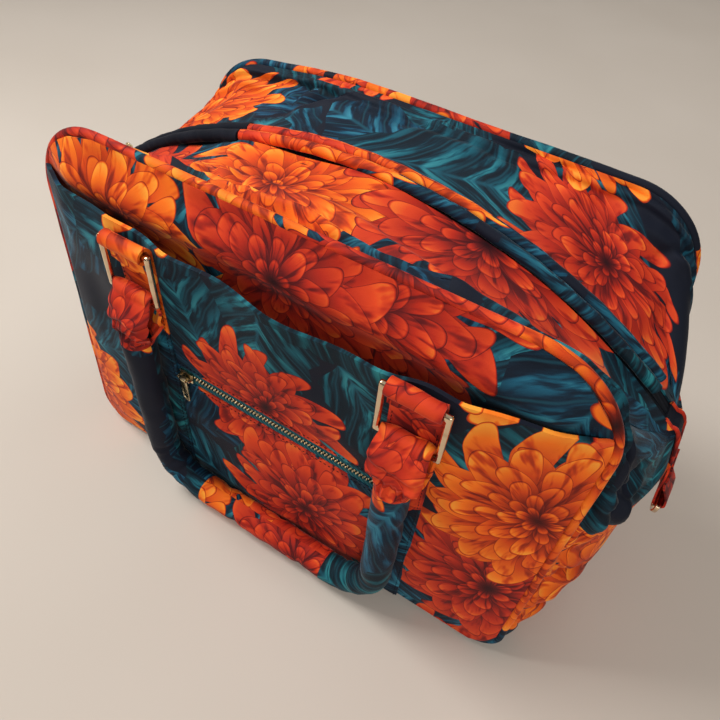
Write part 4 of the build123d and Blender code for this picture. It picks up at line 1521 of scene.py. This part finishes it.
class OBJECT_OT_bag_trim(Operator):
    """Builds the pocket zip's teeth and finishes the measured pieces that stay."""

    bl_idname = "object.carpet_bag_trim"
    bl_label = "Bag trim"

    def execute(self, context):
        _, f, _ = settings()
        y = -f.pocket_back - 0.0015
        low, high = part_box("pocket_zip_teeth")
        rows = []
        for rise, shift in ((TOOTH_ROW, 0.0), (-TOOTH_ROW, TOOTH_STEP / 2)):
            z = f.zip_height + rise
            rows.append([(low[0] + shift, y, z), (high[0] - 0.001 + shift, y, z)])
        obj = row_object("pocket_zip_teeth_row", rows, TOOTH_STEP, TOOTH, 1, "pale_brass")
        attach(obj, "bag")
        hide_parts("pocket_zip_teeth")
        for name, slot in (
            ("main_zip_tape", "dark_tape"),
            ("main_zip_chain", "dark_tape"),
            ("pocket_zip_tape", "teal_tape"),
            ("base_board", "base_board"),
        ):
            finish_node(name, slot, 0.0)
        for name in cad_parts:
            fits = [(slot, rounding) for word, slot, rounding in METAL if name.endswith(word)]
            if fits:
                finish_node(name, *fits[0])
        return {"FINISHED"}


def finish_node(name, slot, rounding):
    """A measured piece that stays, with its finish and softened edges."""
    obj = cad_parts[name]
    obj.data.materials.clear()
    obj.data.materials.append(material(slot))
    if rounding:
        obj.data.shade_smooth()
        obj.modifiers.new("Joined faces", "WELD").merge_threshold = 0.00001
        edge = obj.modifiers.new("Soft edges", "BEVEL")
        edge.width = rounding
        edge.segments = 3
        edge.limit_method = "ANGLE"
        edge.use_clamp_overlap = slot != "pale_gold"
        edge.harden_normals = True


FLOOR_HALF = 3.0
# Name, place, size and power of the lamps
LAMPS = (
    ("key", (-0.85, -0.25, 1.35), 0.6, 19.0),
    ("fill", (0.8, -1.35, 1.15), 1.1, 13.5),
    ("rear", (0.3, 1.4, 1.3), 1.2, 6.0),
)
# Camera: turn round the bag, look down and roll in radians, its place, and its lens in picture widths
VIEW_ANGLES = (0.48, 0.83, -0.11)
EYE = (0.1729, -0.3163, 0.5063)
FOCAL_SHARE = 635.0 / 720.0
SENSOR = 36.0
# Light of the room from the horizon up
SKY = [(0.0, (0.15, 0.144, 0.134)), (0.35, (0.20, 0.192, 0.184)), (1.0, (0.44, 0.43, 0.41))]


class SCENE_OT_bag_stage(Operator):
    """Sets the floor, lights and camera."""

    bl_idname = "scene.carpet_bag_stage"
    bl_label = "Bag stage"

    def execute(self, context):
        scene = context.scene
        mesh = bpy.data.meshes.new("floor")
        r = FLOOR_HALF
        mesh.from_pydata([(-r, -r, 0), (r, -r, 0), (r, r, 0), (-r, r, 0)], [], [(0, 1, 2, 3)])
        floor = bpy.data.objects.new("floor", mesh)
        scene.collection.objects.link(floor)
        made, net = new_material("floor")
        point = net.node("ShaderNodeTexCoord").outputs["Object"]
        tone = net.mix(net.noise(point, 3.0), (0.52, 0.45, 0.38, 1.0), (0.60, 0.53, 0.46, 1.0))
        principled(net, {"Base Color": tone, "Roughness": 0.9})
        mesh.materials.append(made)
        floor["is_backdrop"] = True
        for name, place, size, power in LAMPS:
            light = bpy.data.lights.new(name, "AREA")
            light.size = size
            light.energy = power
            lamp = bpy.data.objects.new(name, light)
            scene.collection.objects.link(lamp)
            aim = Vector(BAG_MIDDLE) - Vector(place)
            turn = aim.to_track_quat("-Z", "Y").to_matrix().to_4x4()
            lamp.matrix_world = Matrix.Translation(place) @ turn
        world = bpy.data.worlds.new("studio")
        world.use_nodes = True
        sky = Net(world.node_tree)
        toward = sky.node("ShaderNodeTexCoord").outputs["Generated"]
        glow = sky.ramp(sky.node("ShaderNodeSeparateXYZ", [toward]).outputs[2], SKY)
        sky.put(world.node_tree.nodes["Background"].inputs[0], glow)
        scene.world = world
        azimuth, down, roll = VIEW_ANGLES
        ahead = Vector((-sin(azimuth) * cos(down), cos(azimuth) * cos(down), -sin(down)))
        right = ahead.cross(Vector((0, 0, 1))).normalized()
        below = ahead.cross(right)
        across = right * cos(roll) + below * sin(roll)
        under = below * cos(roll) - right * sin(roll)
        lens = bpy.data.cameras.new("camera")
        lens.sensor_width = SENSOR
        lens.lens = FOCAL_SHARE * SENSOR
        camera = bpy.data.objects.new("camera", lens)
        scene.collection.objects.link(camera)
        turn = Matrix((across, -under, -ahead)).transposed().to_4x4()
        camera.matrix_world = Matrix.Translation(EYE) @ turn
        scene.camera = camera
        scene.view_settings.view_transform = "Standard"
        return {"FINISHED"}


class VIEW3D_PT_carpet_bag(Panel):
    """Sidebar panel with the bag's values and steps."""

    bl_label = "Carpet bag"
    bl_space_type = "VIEW_3D"
    bl_region_type = "UI"
    bl_category = "Carpet bag"

    def draw(self, context):
        layout = self.layout
        scene = context.scene
        for values in (getattr(scene, key) for key in GROUPS):
            box = layout.box()
            for key in values.bl_rna.properties.keys():
                if key not in ("rna_type", "name"):
                    box.prop(values, key)
        for step_class in STEPS:
            layout.operator(step_class.bl_idname)


STEPS = (
    OBJECT_OT_bag_materials,
    SCENE_OT_bag_stage,
    OBJECT_OT_bag_gussets,
    OBJECT_OT_bag_panels,
    OBJECT_OT_bag_base,
    OBJECT_OT_bag_piping,
    OBJECT_OT_bag_handles,
    OBJECT_OT_bag_trim,
)
GROUPS = {
    "carpet_bag_body": BagBody,
    "carpet_bag_front": BagFront,
    "carpet_bag_cloth": BagCloth,
    "carpet_bag_print": BagPrint,
}


def register():
    """Adds the add-on's classes and scene values."""
    for item in (*GROUPS.values(), *STEPS, VIEW3D_PT_carpet_bag):
        bpy.utils.register_class(item)
    for key, item in GROUPS.items():
        setattr(bpy.types.Scene, key, PointerProperty(type=item))


def unregister():
    """Removes them again."""
    for key in GROUPS:
        delattr(bpy.types.Scene, key)
    for item in reversed((*GROUPS.values(), *STEPS, VIEW3D_PT_carpet_bag)):
        bpy.utils.unregister_class(item)


def main():
    """Builds the bag on the frame and works out the two boxes."""
    solid_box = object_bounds()
    register()
    for item in STEPS:
        area, name = item.bl_idname.split(".")
        getattr(getattr(bpy.ops, area), name)()
    bpy.context.view_layer.update()
    cloth_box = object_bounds()
    boxes = {"cad": solid_box, "visual": cloth_box}
    boxes = {key: [list(map(float, corner)) for corner in box] for key, box in boxes.items()}


if __name__ == "__main__":
    main()
